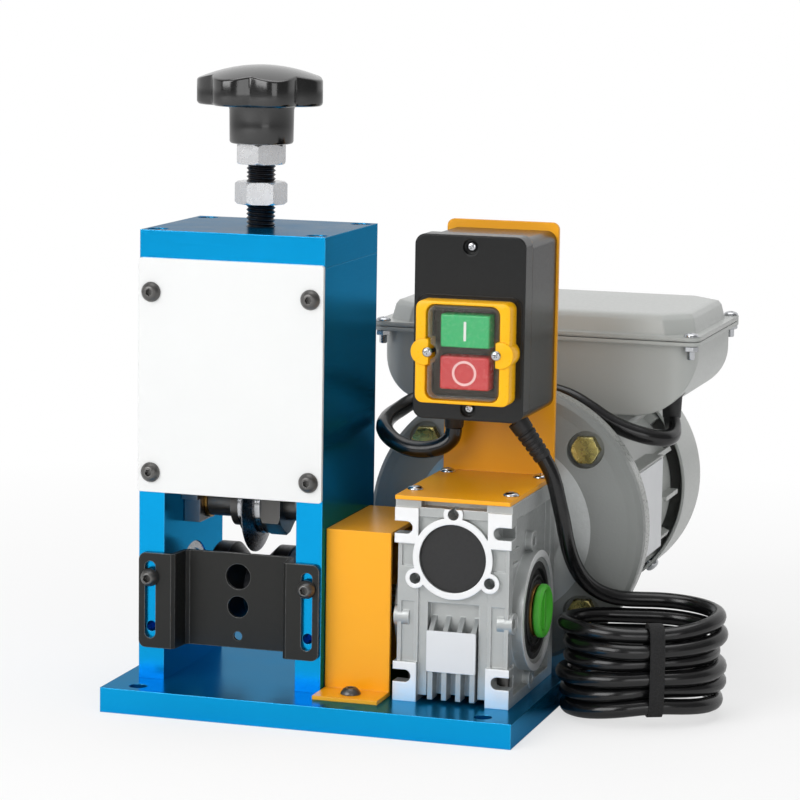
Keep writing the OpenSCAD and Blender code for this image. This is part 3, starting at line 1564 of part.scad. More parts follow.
module cord_hank() {
    color(black) translate([hank_centre[0], hank_centre[1], 0]) rotate(hank_turn)
        linear_extrude(hank_h) difference() {
            hank_shape(0);
            hank_shape(cord_d);
        }
}

module cord_plug() {
    axis_z = plug_h / 2;
    cord_z = cord_d / 2 + 0.1;
    body_x = plug_tail_l + plug_relief_l;
    color(black) translate([plug_from[0], plug_from[1], 0]) rotate(plug_turn) {
        tube([[5, 0, cord_z], [plug_tail_l / 2, 0, (axis_z + cord_z) / 2],
              [plug_tail_l + 1, 0, axis_z]], cord_d, cord_sides);
        translate([plug_tail_l, 0, axis_z]) rotate([0, 90, 0])
            cylinder(d1 = cord_d + 1, d2 = 13, h = plug_relief_l + 1);
        translate([body_x, -plug_w / 2, 0]) cube([plug_l, plug_w, plug_h]);
        for (sy = [-1, 1])
            translate([body_x + plug_l - 1, sy * 6.35 - 0.75, axis_z - 3])
                cube([blade_pin_l + 1, 1.5, 6.3]);
    }
}

base_plate();
frame_screws();
left_side_plate();
right_side_plate();
top_plate();
front_cover();
cover_screws();
guide_screws();
roller_bearings();
drive_cover();
blade_carriage();
blade_bushes();
cutter_blade();
blade_axle();
blade_washers();
blade_nut();
press_rod();
press_knob();
jam_nut();
rod_retainer();
lock_nut();
wire_guide();
feed_roller();
roller_shaft();
shaft_spacers();
worm_wheel();
bore_plug();
gearbox_housing();
blank_plates();
drive_bearings();
oil_seals();
flange_bolts();
worm_shaft();
motor_rotor();
fan();
motor_front_shield();
motor_frame();
stator();
motor_rear_shield();
fan_cowl();
terminal_box();
terminal_lid();
capacitor();
terminal_board();
lead_grommets();
case_screws();
switch_bracket();
switch_case();
switch_cover();
switch_screws();
button_bezel();
clear_boot();
contact_block();
start_button();
stop_button();
motor_lead();
strain_relief();
power_cord();
cord_hank();
cord_plug();
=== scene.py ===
import math

import bmesh
import bpy
from mathutils import Matrix, Vector


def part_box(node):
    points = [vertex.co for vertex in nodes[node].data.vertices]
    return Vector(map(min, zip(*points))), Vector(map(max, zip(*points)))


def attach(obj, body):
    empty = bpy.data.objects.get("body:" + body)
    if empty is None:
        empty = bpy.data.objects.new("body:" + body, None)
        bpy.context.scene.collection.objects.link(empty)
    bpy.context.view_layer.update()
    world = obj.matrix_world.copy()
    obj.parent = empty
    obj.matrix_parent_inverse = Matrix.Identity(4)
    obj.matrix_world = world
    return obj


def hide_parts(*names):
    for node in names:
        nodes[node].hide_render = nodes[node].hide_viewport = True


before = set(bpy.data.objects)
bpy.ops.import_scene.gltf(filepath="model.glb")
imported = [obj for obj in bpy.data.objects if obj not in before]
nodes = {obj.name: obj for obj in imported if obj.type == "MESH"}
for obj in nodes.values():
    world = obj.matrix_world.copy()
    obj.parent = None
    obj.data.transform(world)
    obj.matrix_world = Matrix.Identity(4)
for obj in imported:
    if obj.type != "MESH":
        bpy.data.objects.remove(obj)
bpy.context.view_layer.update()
mm = 0.001


# A new object of a mesh, curve, lamp or camera, linked to the scene.
def newObject(name, data):
    thing = bpy.data.objects.new(name, data)
    bpy.context.scene.collection.objects.link(thing)
    return thing


# Camera, at the photograph's place
cameraSettings = {
    "place": (473.0, -1465.4, 374.2),
    "heading": 17.194,
    "pitch": 8.446,
    "roll": 0.877,
    "lens": 143.3,
    "sensor": 36.0,
}


def makeCamera(s):
    heading, pitch, roll = (math.radians(s[k]) for k in ("heading", "pitch", "roll"))
    ahead = Vector((-math.sin(heading) * math.cos(pitch),
                    math.cos(heading) * math.cos(pitch), -math.sin(pitch)))
    level = Vector((math.cos(heading), math.sin(heading), 0))
    above = level.cross(ahead)
    right = level * math.cos(roll) + above * math.sin(roll)
    up = above * math.cos(roll) - level * math.sin(roll)
    data = bpy.data.cameras.new("camera")
    data.lens, data.sensor_width = s["lens"], s["sensor"]
    data.clip_start, data.clip_end = 0.05, 50
    camera = newObject("camera", data)
    turned = Matrix((right, up, -ahead)).transposed().to_4x4()
    camera.matrix_world = Matrix.Translation(Vector(s["place"]) * mm) @ turned
    bpy.context.scene.camera = camera


makeCamera(cameraSettings)


# Short ways to build a node tree: one adds a node with its values, one links sockets by name.
def treeTools(tree):
    def add(kind, values={}, **settings):
        node = tree.nodes.new(kind)
        for label, value in settings.items():
            setattr(node, label, value)
        for label, value in values.items():
            node.inputs[label].default_value = value
        return node

    def wire(*links):
        for source, out, target, into in links:
            tree.links.new(source.outputs[out], target.inputs[into])

    return add, wire


# A node group from lists of its inputs and outputs, each a name and a kind.
def newGroup(name, inputs, outputs, kind="ShaderNodeTree"):
    group = bpy.data.node_groups.new(name, kind)
    for way, sockets in (("INPUT", inputs), ("OUTPUT", outputs)):
        for label, socket in sockets:
            group.interface.new_socket(name=label, in_out=way, socket_type="NodeSocket" + socket)
    add, wire = treeTools(group)
    return group, add, wire, add("NodeGroupInput"), add("NodeGroupOutput")


# Shared node groups: each gives one value that a finish takes up
# Fine noise between a low and a high value, stretched by the coordinates' own scale.
def makeGrainGroup():
    group, add, wire, start, end = newGroup(
        "grain", [("Vector", "Vector"), ("Scale", "Float"), ("Detail", "Float"), ("Low", "Float"),
                  ("High", "Float")], [("Value", "Float")])
    noise = add("ShaderNodeTexNoise")
    spread = add("ShaderNodeMapRange", {"From Min": 0.3, "From Max": 0.7})
    wire((start, "Vector", noise, "Vector"), (start, "Scale", noise, "Scale"),
         (start, "Detail", noise, "Detail"), (noise, "Fac", spread, "Value"),
         (start, "Low", spread, "To Min"), (start, "High", spread, "To Max"),
         (spread, "Result", end, "Value"))
    return group


# Edges that catch the light as if they were rounded.
def makeRoundedGroup():
    group, add, wire, start, end = newGroup("roundedEdges", [("Radius", "Float")],
                                            [("Normal", "Vector")])
    bevel = add("ShaderNodeBevel", samples=4)
    wire((start, "Radius", bevel, "Radius"), (bevel, "Normal", end, "Normal"))
    return group


# A finish's colour: slow changes of tone, and the edges worn to a second colour.
def makeTonesGroup():
    colours = [(label, "Color") for label in ("Colour", "Deeper", "Edge", "Bare", "Rear")]
    amounts = [(label, "Float") for label in ("Scale", "Wear", "Width", "Bare Front",
                                              "Bare Right", "Rear From", "Metal")]
    group, add, wire, start, end = newGroup("tones", [("Vector", "Vector")] + colours + amounts,
                                            [("Color", "Color"), ("Metallic", "Float")])

    def count(operation, values={}, clamp=False):
        return add("ShaderNodeMath", values, operation=operation, use_clamp=clamp)

    # a colour mix's sockets go by number: 0 is the share, 6 and 7 the colours, 2 the result
    tone, worn, bare, rear = (add("ShaderNodeMix", data_type="RGBA") for _ in range(4))
    slow = add("ShaderNodeTexNoise", {"Detail": 4})
    wire((start, "Vector", slow, "Vector"), (start, "Scale", slow, "Scale"),
         (slow, "Fac", tone, 0), (start, "Colour", tone, 6), (start, "Deeper", tone, 7))
    bevel, shape = add("ShaderNodeBevel", samples=4), add("ShaderNodeNewGeometry")
    turned = add("ShaderNodeVectorMath", operation="DOT_PRODUCT")
    edge = add("ShaderNodeMapRange", {"From Min": 1.0, "From Max": 0.86})
    rough = add("ShaderNodeTexNoise", {"Scale": 240, "Detail": 3})
    amount, much = count("MULTIPLY", clamp=True), count("MULTIPLY")
    wire((start, "Width", bevel, "Radius"), (bevel, "Normal", turned, 0),
         (shape, "Normal", turned, 1), (turned, "Value", edge, "Value"),
         (start, "Vector", rough, "Vector"), (rough, "Fac", amount, 0),
         (edge, "Result", amount, 1), (amount, 0, much, 0), (start, "Wear", much, 1),
         (much, 0, worn, 0), (tone, 2, worn, 6), (start, "Edge", worn, 7))
    # faces that stand forward of one place, or right of another, are machined bright
    apart = add("ShaderNodeSeparateXYZ")
    front, before = count("LESS_THAN"), count("LESS_THAN", {1: 0.02})
    right, side, either = count("GREATER_THAN"), count("MULTIPLY"), count("MAXIMUM")
    wire((start, "Vector", apart, "Vector"), (apart, "Y", front, 0),
         (start, "Bare Front", front, 1), (apart, "X", right, 0), (start, "Bare Right", right, 1),
         (front, 0, either, 0), (apart, "Y", before, 0), (right, 0, side, 0),
         (before, 0, side, 1), (side, 0, either, 1), (either, 0, bare, 0), (worn, 2, bare, 6),
         (start, "Bare", bare, 7))
    # what lies behind another place has a tone of its own, and is paint where the rest is metal
    behind, ahead, metal = count("GREATER_THAN"), count("SUBTRACT", {0: 1.0}), count("MULTIPLY")
    wire((apart, "Y", behind, 0), (start, "Rear From", behind, 1), (behind, 0, rear, 0),
         (bare, 2, rear, 6), (start, "Rear", rear, 7), (rear, 2, end, "Color"),
         (behind, 0, ahead, 1), (ahead, 0, metal, 0), (start, "Metal", metal, 1),
         (metal, 0, end, "Metallic"))
    return group


grainGroup, roundedGroup, tonesGroup = makeGrainGroup(), makeRoundedGroup(), makeTonesGroup()


# The linear colour of a screen colour.
def tint(colour):
    return (*(c / 12.92 if c <= 0.04045 else ((c + 0.055) / 1.055) ** 2.4
              for c in (part / 255 for part in colour)), 1.0)


# What a finish has unless its own settings say otherwise; lengths are in metres.
usualFinish = dict(
    wear=0.0, wearWidth=0.0008, toneScale=18.0, grain=500.0, stretch=(1, 1, 1), bump=0.1,
    bumpDepth=0.00005, rounding=0.0005, metallic=0.0, coat=0.0, coatRoughness=0.1, specular=0.5,
    glancing=(1, 1, 1), bareFront=-10.0, bareRight=10.0, rearFrom=10.0)


# A finish from its own settings, with fine relief on edges that look rounded.
def makeFinish(name, own):
    main, deeper, edge = own["tones"]
    s = {"bare": main, "rear": main, **usualFinish, **own}
    material = bpy.data.materials.new(name)
    material.use_nodes = True
    add, wire = treeTools(material.node_tree)
    surface = material.node_tree.nodes["Principled BSDF"]
    for label, value in (("Metallic", s["metallic"]), ("Coat Weight", s["coat"]),
                         ("Coat Roughness", s["coatRoughness"]),
                         ("Specular IOR Level", s["specular"]),
                         ("Specular Tint", (*s["glancing"], 1))):
        surface.inputs[label].default_value = value
    place, stretch = add("ShaderNodeTexCoord"), add("ShaderNodeMapping", {"Scale": s["stretch"]})
    colour = add("ShaderNodeGroup", {
        "Colour": tint(main), "Deeper": tint(deeper), "Edge": tint(edge),
        "Scale": s["toneScale"], "Wear": s["wear"], "Width": s["wearWidth"],
        "Bare": tint(s["bare"]), "Bare Front": s["bareFront"], "Bare Right": s["bareRight"],
        "Rear": tint(s["rear"]), "Rear From": s["rearFrom"], "Metal": s["metallic"]},
        node_tree=tonesGroup)
    low, high = s["roughness"]
    rough = add("ShaderNodeGroup", {"Scale": s["grain"], "Detail": 3.0, "Low": low, "High": high},
                node_tree=grainGroup)
    relief = add("ShaderNodeGroup", {"Scale": s.get("bumpGrain", s["grain"]), "Detail": 4.0,
                                     "Low": 0.0, "High": 1.0}, node_tree=grainGroup)
    bump = add("ShaderNodeBump", {"Strength": s["bump"], "Distance": s["bumpDepth"]})
    wire((place, "Object", stretch, "Vector"), (place, "Object", colour, "Vector"),
         (colour, "Color", surface, "Base Color"), (stretch, "Vector", rough, "Vector"),
         (rough, "Value", surface, "Roughness"), (stretch, "Vector", relief, "Vector"),
         (relief, "Value", bump, "Height"), (bump, "Normal", surface, "Normal"))
    if s["rounding"]:
        rounded = add("ShaderNodeGroup", {"Radius": s["rounding"]}, node_tree=roundedGroup)
        wire((rounded, "Normal", bump, "Normal"))
    if "rear" in own:
        wire((colour, "Metallic", surface, "Metallic"))
    return material


# Tones are the main colour, its deeper patches and its worn edges, as seen on a screen.
# Nodes are the CAD solids that wear the finish.
finishSettings = {
    "blueAnodised": dict(
        tones=((14, 166, 230), (10, 153, 214), (130, 205, 240)), wear=0.45, metallic=0.92,
        roughness=(0.2, 0.26), stretch=(0.1, 0.1, 2.4), bump=0.02,
        glancing=(0.42, 0.4, 0.38),
        nodes=["base_plate", "left_side_plate", "right_side_plate", "top_plate"]),
    "whiteSheet": dict(
        tones=((228, 229, 228), (223, 224, 224), (186, 188, 190)), wear=0.25,
        roughness=(0.3, 0.38), grain=600.0, bump=0.05, nodes=["front_cover"]),
    "blackSteel": dict(
        tones=((38, 38, 36), (31, 31, 30), (170, 170, 168)), wear=0.9, wearWidth=0.0006,
        metallic=0.45, roughness=(0.34, 0.5), grain=700.0, rounding=0.0004,
        nodes=["wire_guide"]),
    "blackScrew": dict(
        tones=((112, 111, 109), (84, 83, 82), (190, 190, 188)), wear=0.6, metallic=0.85,
        roughness=(0.3, 0.42), grain=900.0, rounding=0.0003,
        nodes=["frame_screws", "cover_screws", "guide_screws", "blade_nut", "blade_axle"]),
    "zincScrew": dict(
        tones=((205, 207, 210), (176, 178, 182), (235, 236, 238)), wear=0.5, metallic=1.0,
        roughness=(0.14, 0.26), grain=1200.0, rounding=0.0002,
        nodes=["case_screws", "switch_screws", "blade_washers"]),
    "zincNut": dict(
        tones=((244, 244, 245), (222, 222, 224), (252, 252, 252)), wear=0.2, wearWidth=0.0006,
        metallic=0.85, roughness=(0.24, 0.3), grain=260.0, toneScale=60.0, bump=0.02,
        rounding=0.0004, nodes=["jam_nut", "lock_nut", "rod_retainer"]),
    "groundSteel": dict(
        tones=((186, 188, 192), (160, 162, 166), (220, 220, 224)), wear=0.4, metallic=1.0,
        roughness=(0.2, 0.34), stretch=(3, 0.4, 0.4), grain=900.0, bump=0.12,
        nodes=["roller_bearings", "drive_bearings", "roller_shaft", "shaft_spacers",
               "worm_shaft"]),
    "milledSteel": dict(
        tones=((122, 124, 128), (96, 98, 102), (190, 190, 194)), wear=0.5, metallic=1.0,
        roughness=(0.28, 0.44), stretch=(0.3, 0.3, 2.5), grain=800.0, bump=0.16,
        nodes=["blade_carriage"]),
    "bladeSteel": dict(
        tones=((96, 96, 100), (66, 66, 70), (205, 206, 210)), wear=0.9, wearWidth=0.0014,
        metallic=1.0, roughness=(0.22, 0.36), grain=1100.0, nodes=["cutter_blade"]),
    "rollerSteel": dict(
        tones=((48, 48, 51), (34, 34, 37), (150, 150, 154)), wear=0.8, metallic=0.9,
        roughness=(0.3, 0.46), stretch=(2.5, 0.4, 0.4), grain=700.0, bump=0.2,
        nodes=["feed_roller"]),
    "rodSteel": dict(
        tones=((62, 62, 66), (40, 40, 43), (160, 160, 164)), wear=0.7, wearWidth=0.0004,
        metallic=0.95, roughness=(0.26, 0.42), grain=900.0, rounding=0.0, nodes=["press_rod"]),
    "orangeCoat": dict(
        tones=((246, 171, 16), (242, 163, 12), (252, 198, 92)), wear=0.35,
        roughness=(0.32, 0.42), grain=900.0, bumpGrain=1400.0, bump=0.16, coat=0.15,
        coatRoughness=0.2, specular=0.35, rounding=0.0008,
        nodes=["drive_cover", "switch_bracket"]),
    # bareFront, bareRight and rearFrom are where machined faces start and metal turns to paint
    "castAlloy": dict(
        tones=((188, 191, 190), (166, 169, 169), (232, 234, 234)), wear=0.75, wearWidth=0.0012,
        metallic=0.65, roughness=(0.34, 0.52), bumpGrain=900.0, bump=0.3,
        bumpDepth=0.0001, toneScale=40.0, rounding=0.0007, bare=(238, 239, 240),
        bareFront=-0.0598, bareRight=0.0964, rear=(130, 133, 131), rearFrom=0.026,
        nodes=["gearbox_housing"]),
    "motorPaint": dict(
        tones=((182, 185, 182), (172, 175, 172), (208, 211, 208)), wear=0.3,
        roughness=(0.3, 0.42), grain=700.0, bumpGrain=800.0, bump=0.14, bumpDepth=0.00008,
        coat=0.3, coatRoughness=0.25, rounding=0.0011,
        nodes=["motor_frame", "motor_rear_shield", "fan_cowl", "terminal_box"]),
    # the motor's front shield wears the motor's paint made darker and glossier: the darker tones
    # are a painted shade for the shadow and dark reflections that fall on it
    "shieldShadedPaint": dict(
        tones=((150, 153, 150), (142, 145, 142), (196, 199, 196)), wear=0.4,
        roughness=(0.24, 0.34), grain=700.0, bumpGrain=800.0, bump=0.12, bumpDepth=0.00008,
        coat=0.4, coatRoughness=0.2, rounding=0.0011, nodes=["motor_front_shield"]),
    "lidPaint": dict(
        tones=((184, 187, 184), (176, 179, 176), (206, 209, 206)), wear=0.25,
        roughness=(0.28, 0.38), bump=0.06, coat=0.35, coatRoughness=0.2,
        rounding=0.0024, nodes=["terminal_lid"]),
    "barePlate": dict(
        tones=((226, 228, 230), (212, 214, 217), (180, 182, 186)), wear=0.3, metallic=0.35,
        roughness=(0.3, 0.4), stretch=(4, 0.2, 0.2), grain=700.0, bump=0.06,
        nodes=["blank_plates"]),
    "castBronze": dict(
        tones=((186, 140, 72), (160, 116, 56), (226, 190, 120)), wear=0.6, metallic=1.0,
        roughness=(0.26, 0.42), bump=0.2, nodes=["blade_bushes", "worm_wheel"]),
    "yellowZinc": dict(
        tones=((206, 190, 114), (142, 136, 88), (248, 238, 186)), wear=0.7, metallic=1.0,
        roughness=(0.2, 0.36), grain=420.0, toneScale=160.0, bump=0.25, rounding=0.0006,
        nodes=["flange_bolts"]),
    "blackRubber": dict(
        tones=((30, 30, 31), (24, 24, 25), (54, 54, 56)), wear=0.3, roughness=(0.42, 0.58),
        grain=600.0, bump=0.2, nodes=["oil_seals", "lead_grommets", "strain_relief"]),
    "limePlastic": dict(
        tones=((84, 190, 58), (56, 150, 40), (140, 220, 110)), wear=0.35,
        roughness=(0.3, 0.42), bump=0.08, specular=0.35, nodes=["bore_plug"]),
    "darkCore": dict(
        tones=((70, 68, 66), (46, 45, 44), (120, 118, 116)), wear=0.4, metallic=0.6,
        roughness=(0.4, 0.6), stretch=(0.3, 6, 0.3), bump=0.4,
        nodes=["motor_rotor", "stator"]),
    "blackCase": dict(
        tones=((17, 18, 18), (14, 15, 15), (84, 85, 86)), wear=0.45, wearWidth=0.0009,
        roughness=(0.2, 0.27), grain=700.0, bumpGrain=1600.0, bump=0.04, rounding=0.0014,
        specular=0.38, nodes=["fan", "capacitor", "switch_case", "switch_cover", "cord_plug"]),
    "blackKnob": dict(
        tones=((8, 8, 8), (5, 5, 5), (26, 26, 27)), wear=0.2, roughness=(0.16, 0.22),
        grain=900.0, bumpGrain=1500.0, bump=0.04, bumpDepth=0.00004, rounding=0.0,
        specular=0.6, coat=0.6, coatRoughness=0.12, nodes=["press_knob"]),
    "yellowPlastic": dict(
        tones=((248, 184, 0), (244, 176, 0), (255, 212, 70)), wear=0.3,
        roughness=(0.26, 0.34), bump=0.05, specular=0.35, rounding=0.0008,
        nodes=["button_bezel"]),
    "darkPlastic": dict(
        tones=((40, 39, 37), (30, 29, 28), (70, 68, 64)), wear=0.3, roughness=(0.4, 0.5),
        nodes=["contact_block"]),
    "greenButton": dict(
        tones=((24, 184, 108), (16, 176, 100), (150, 232, 190)), wear=0.4,
        roughness=(0.22, 0.3), bump=0.04, coat=0.3, nodes=["start_button"]),
    "redButton": dict(
        tones=((204, 46, 52), (194, 40, 46), (236, 120, 122)), wear=0.4,
        roughness=(0.22, 0.3), bump=0.04, coat=0.3, nodes=["stop_button"]),
    "whiteMark": dict(
        tones=((240, 240, 238), (232, 232, 230), (240, 240, 238)), roughness=(0.35, 0.45),
        grain=400.0, rounding=0.0),
    "paleMark": dict(
        tones=((246, 204, 202), (240, 194, 192), (246, 204, 202)), roughness=(0.35, 0.45),
        grain=400.0, rounding=0.0),
    "brownResin": dict(
        tones=((96, 62, 40), (78, 50, 32), (140, 100, 70)), wear=0.3, roughness=(0.35, 0.5),
        nodes=["terminal_board"]),
    "cordSheath": dict(
        tones=((17, 17, 18), (12, 12, 13), (30, 30, 31)), roughness=(0.16, 0.27), grain=260.0,
        bumpGrain=700.0, rounding=0.0, nodes=["motor_lead", "power_cord", "cord_hank"]),
    "strapFabric": dict(
        tones=((26, 26, 27), (18, 18, 19), (48, 48, 50)), wear=0.3, roughness=(0.7, 0.9),
        grain=1500.0, bump=0.8, bumpDepth=0.0003, rounding=0.0003),
    "pinBrass": dict(
        tones=((214, 190, 130), (196, 170, 110), (240, 224, 180)), wear=0.5, metallic=1.0,
        roughness=(0.18, 0.3), grain=900.0),
    "clearSilicone": dict(
        tones=((192, 187, 176), (180, 175, 164), (192, 187, 176)), roughness=(0.04, 0.09),
        grain=120.0, bump=0.04, rounding=0.0006, coat=1.0, coatRoughness=0.03,
        nodes=["clear_boot"]),
}
finishes = {name: makeFinish(name, s) for name, s in finishSettings.items()}


# Mostly see-through, and more mirror-like where it curves away.
def makeClear(material, blend=0.32, alpha=(0.05, 0.75)):
    add, wire = treeTools(material.node_tree)
    facing = add("ShaderNodeLayerWeight", {"Blend": blend})
    clear = add("ShaderNodeMapRange", {"To Min": alpha[0], "To Max": alpha[1]})
    wire((facing, "Facing", clear, "Value"),
         (clear, "Result", material.node_tree.nodes["Principled BSDF"], "Alpha"))


def dressNodes():
    for name, s in finishSettings.items():
        for node in s.get("nodes", ()):
            mesh = nodes[node].data
            mesh.materials.clear()
            mesh.materials.append(finishes[name])
            mesh.polygons.foreach_set("material_index", [0] * len(mesh.polygons))


makeClear(finishes["clearSilicone"])
dressNodes()
print("finishes and CAD nodes dressed")


# Helpers that make pieces
# Says which body a piece rides on, and hides the CAD nodes that it stands for.
def register(piece, body, replaced):
    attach(piece, body)
    if replaced:
        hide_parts(*replaced)
    return piece


# A mesh as a piece. Edges under the smooth angle are shaded round.
def addPiece(name, mesh, finish, replaced=(), body="frame", smooth=0.6):
    piece = newObject(name, mesh)
    mesh.materials.clear()
    mesh.materials.append(finishes[finish])
    if smooth:
        mesh.polygons.foreach_set("use_smooth", [True] * len(mesh.polygons))
        mesh.set_sharp_from_angle(angle=smooth)
    return register(piece, body, replaced)


# A mesh of rings joined in order, each a list of points in millimetres. In a loop, the last
# ring joins the first. Otherwise both ends are closed, or only the far one.
def loft(name, rings, loop=False, capStart=True):
    rings = rings + rings[:1] if loop else rings
    count, last = len(rings[0]), len(rings) - 1
    steps = [(k, (k + 1) % count) for k in range(count)]
    faces = [(i * count + k, i * count + n, (i + 1) * count + n, (i + 1) * count + k)
             for i in range(last) for k, n in steps]
    if capStart and not loop:
        faces.append(tuple(range(count - 1, -1, -1)))
    if not loop:
        faces.append(tuple(last * count + k for k in range(count)))
    mesh = bpy.data.meshes.new(name)
    mesh.from_pydata([tuple(p * mm) for ring in rings for p in ring], [], faces)
    mesh.validate()
    shape = bmesh.new()
    shape.from_mesh(mesh)
    bmesh.ops.remove_doubles(shape, verts=shape.verts, dist=1e-7)
    bmesh.ops.recalc_face_normals(shape, faces=shape.faces)
    shape.to_mesh(mesh)
    shape.free()
    return mesh


# One mesh of several.
def joined(name, meshes):
    shape = bmesh.new()
    for part in meshes:
        shape.from_mesh(part)
    mesh = bpy.data.meshes.new(name)
    shape.to_mesh(mesh)
    shape.free()
    return mesh


# The mesh of a helper object with its modifiers applied. The helpers are then removed.
def resultOf(helper, *others):
    bpy.context.view_layer.update()
    graph = bpy.context.evaluated_depsgraph_get()
    mesh = bpy.data.meshes.new_from_object(helper.evaluated_get(graph))
    for thing in (helper, *others):
        bpy.data.objects.remove(thing)
    return mesh


# The mesh less another's solid, or joined with it.
def cutBy(mesh, cutter, name, operation="DIFFERENCE"):
    body, tool = newObject(name, mesh), newObject(name + "Tool", cutter)
    modifier = body.modifiers.new("cut", "BOOLEAN")
    modifier.operation, modifier.object, modifier.solver = operation, tool, "EXACT"
    return resultOf(body, tool)


# Runs a Geometry Nodes group on a mesh, with values for the group's named inputs.
def runNodes(name, mesh, group, values):
    carrier = newObject(name + "Carrier", mesh)
    modifier = carrier.modifiers.new("nodes", "NODES")
    modifier.node_group = group
    for item in group.interface.items_tree:
        if item.in_out == "INPUT" and item.name in values:
            modifier[item.identifier] = values[item.name]
    return resultOf(carrier)


# Even steps round a circle, as pairs of cosine and sine.
def around(steps, start=0.0):
    angles = [start + 2 * math.pi * k / steps for k in range(steps)]
    return [(math.cos(a), math.sin(a)) for a in angles]


# The number raised to a power, with its own sign.
def signedPower(number, power):
    return math.copysign(abs(number) ** power, number)


# A profile of radius and height, turned about Z.
def lathe(name, profile, steps=48, loop=False):
    return loft(name, [[Vector((r * c, r * n, z)) for c, n in around(steps)]
                       for r, z in profile], loop)


# An outline drawn up through levels, each a height and how large the outline is there.
def prism(name, outline, *levels):
    return loft(name, [[Vector((x * size, y * size, z)) for x, y in outline]
                       for z, size in levels])


# Moves a mesh to a place, after a quarter turn about X, to face forward, or Y, to face right.
def layTo(mesh, place, about=None):
    turn = Matrix.Rotation(math.radians(90), 4, about) if about else Matrix()
    mesh.transform(Matrix.Translation(Vector(place) * mm) @ turn)
    return mesh


# Cords
cordSettings = {
    "diameter": 7.6,
    "exit": (94.3, -8.0, 123.8),
    "exitFrom": (82.0, -11.0, 141.5),
    "past": (102.2, -3.9, 99.2),
    "pastWay": (0.241, 0.152, -0.958),
    "pulls": (31.1, 18.6, 48.0, 100.0),
    "bundleCentre": (142.5, 5.0),
    "bundleTurn": 25.0,
    "turns": 5,
    "halfRun": 9.4,
    "foldRadius": 26.7,
    "leave": 75.0,
    "pitch": 7.95,
    "tiePull": 2.2,
    "tieReach": 62.0,
    "offFloor": 0.1,
    "spacing": 4,
    # how the turns differ: how much, how fast from turn to turn, and where that starts
    "skew": (5.0, 2.3, 0.4),
    "slideAlong": (2.4, 4.4, 0.9),
    "slideAcross": (0.8, 5.3, 2.0),
    "tail": 24.0,
    "tailLift": 3.6,
}


# Points from a start to a finish, with the pull out of one and into the other.
def hermite(start, out, finish, arrive, steps):
    line = []
    for i in range(steps):
        t = i / steps
        line.append((2 * t ** 3 - 3 * t ** 2 + 1) * start + (t ** 3 - 2 * t ** 2 + t) * out
                    + (3 * t ** 2 - 2 * t ** 3) * finish + (t ** 3 - t ** 2) * arrive)
    return line


# One smooth line through the given points.
def smoothLine(points, steps):
    line = []
    for a, b, c, d in zip(points[:1] + points, points, points[1:], points[2:] + points[-1:]):
        line += hermite(b, (c - a) / 2, c, (d - b) / 2, steps)
    return line + points[-1:]


def lineLength(points):
    return sum((b - a).length for a, b in zip(points, points[1:]))


# A cord's curve through points in metres, as a piece.
def curvePiece(name, points, diameter, replaced):
    data = bpy.data.curves.new(name, "CURVE")
    data.dimensions = "3D"
    data.bevel_depth, data.bevel_resolution = diameter / 2, 5
    data.use_fill_caps = True
    spline = data.splines.new("POLY")
    spline.points.add(len(points) - 1)
    for point, place in zip(spline.points, points):
        point.co = (*place, 1)
    spline.use_smooth = True
    data.materials.append(finishes["cordSheath"])
    return register(newObject(name, data), "frame", replaced)


# A point and its heading at a length along one turn, from the start of its first run.
def stadiumPoint(s, length):
    run, radius = 2 * s["halfRun"], s["foldRadius"]
    back, length = divmod(length, run + math.pi * radius)
    if length < run:
        flat, heading = Vector((length - s["halfRun"], -radius)), 0.0
    else:
        heading = (length - run) / radius
        flat = Vector((s["halfRun"] + radius * math.sin(heading), -radius * math.cos(heading)))
    return (-flat, heading + math.pi) if back else (flat, heading)


# The length of one turn, of the whole bundle, and from a turn's start to the tie.
def bundleLengths(s):
    run, half = 2 * s["halfRun"], math.pi * s["foldRadius"]
    folded = math.radians(180 + s["bundleTurn"] - s["leave"]) * s["foldRadius"]
    turn = 2 * (run + half)
    return turn, s["turns"] * turn + 2 * run + half + folded, run * 1.5 + half


# How far a turn swings, by its count of turns from the top.
def wave(settings, count):
    size, rate, start = settings
    return size * math.sin(rate * count + start)


# The wound cord from its top turn down: turns stacked a diameter apart, drawn in at the tie.
def bundleLine(s):
    turn, total, tieAt = bundleLengths(s)
    low = s["diameter"] / 2 + s["offFloor"]
    top = low + s["pitch"] * total / turn
    middle = (low + top) / 2
    turned = Matrix.Rotation(math.radians(s["bundleTurn"]), 2)
    points = []
    steps = int(total / s["spacing"])
    for i in range(steps + 1):
        along = s["halfRun"] + (total - s["halfRun"]) * i / steps
        count = along / turn
        flat, heading = stadiumPoint(s, along % turn)
        # each turn lies a little askew of the one under it
        free = min(1, count) * min(1, (total - along) / turn)
        flat = Matrix.Rotation(math.radians(wave(s["skew"], count)) * free, 2) @ flat
        fromTie = abs((along - tieAt + turn / 2) % turn - turn / 2)
        pull = 0.5 + 0.5 * math.cos(math.pi * min(1, fromTie / s["tieReach"]))
        # and slides a little out of the stack, but not at the tie
        flat += Vector((wave(s["slideAlong"], count),
                        wave(s["slideAcross"], count))) * (1 - pull) * free
        squeeze = math.sqrt(s["pitch"] ** 2 - (2 * s["tiePull"] * pull) ** 2) / s["pitch"]
        height = middle + (top - s["pitch"] * count - middle) * squeeze
        sideways = s["tiePull"] * pull * (1 if round((along - tieAt) / turn) % 2 else -1)
        flat += Vector((math.sin(heading), -math.cos(heading))) * sideways
        flat = turned @ Vector((flat.x, -flat.y)) + Vector(s["bundleCentre"])
        points.append(Vector((*flat, height)))
    return points


# The free stretch: out of the strain relief, past the gearbox's hub and down on the bundle.
def dropLine(s, first, onward):
    start, past, way = (Vector(s[k]) for k in ("exit", "past", "pastWay"))
    out = (start - Vector(s["exitFrom"])).normalized()
    pulls = s["pulls"]
    return (hermite(start, out * pulls[0], past, way * pulls[1], 8)
            + hermite(past, way * pulls[2], first, onward.normalized() * pulls[3], 26))


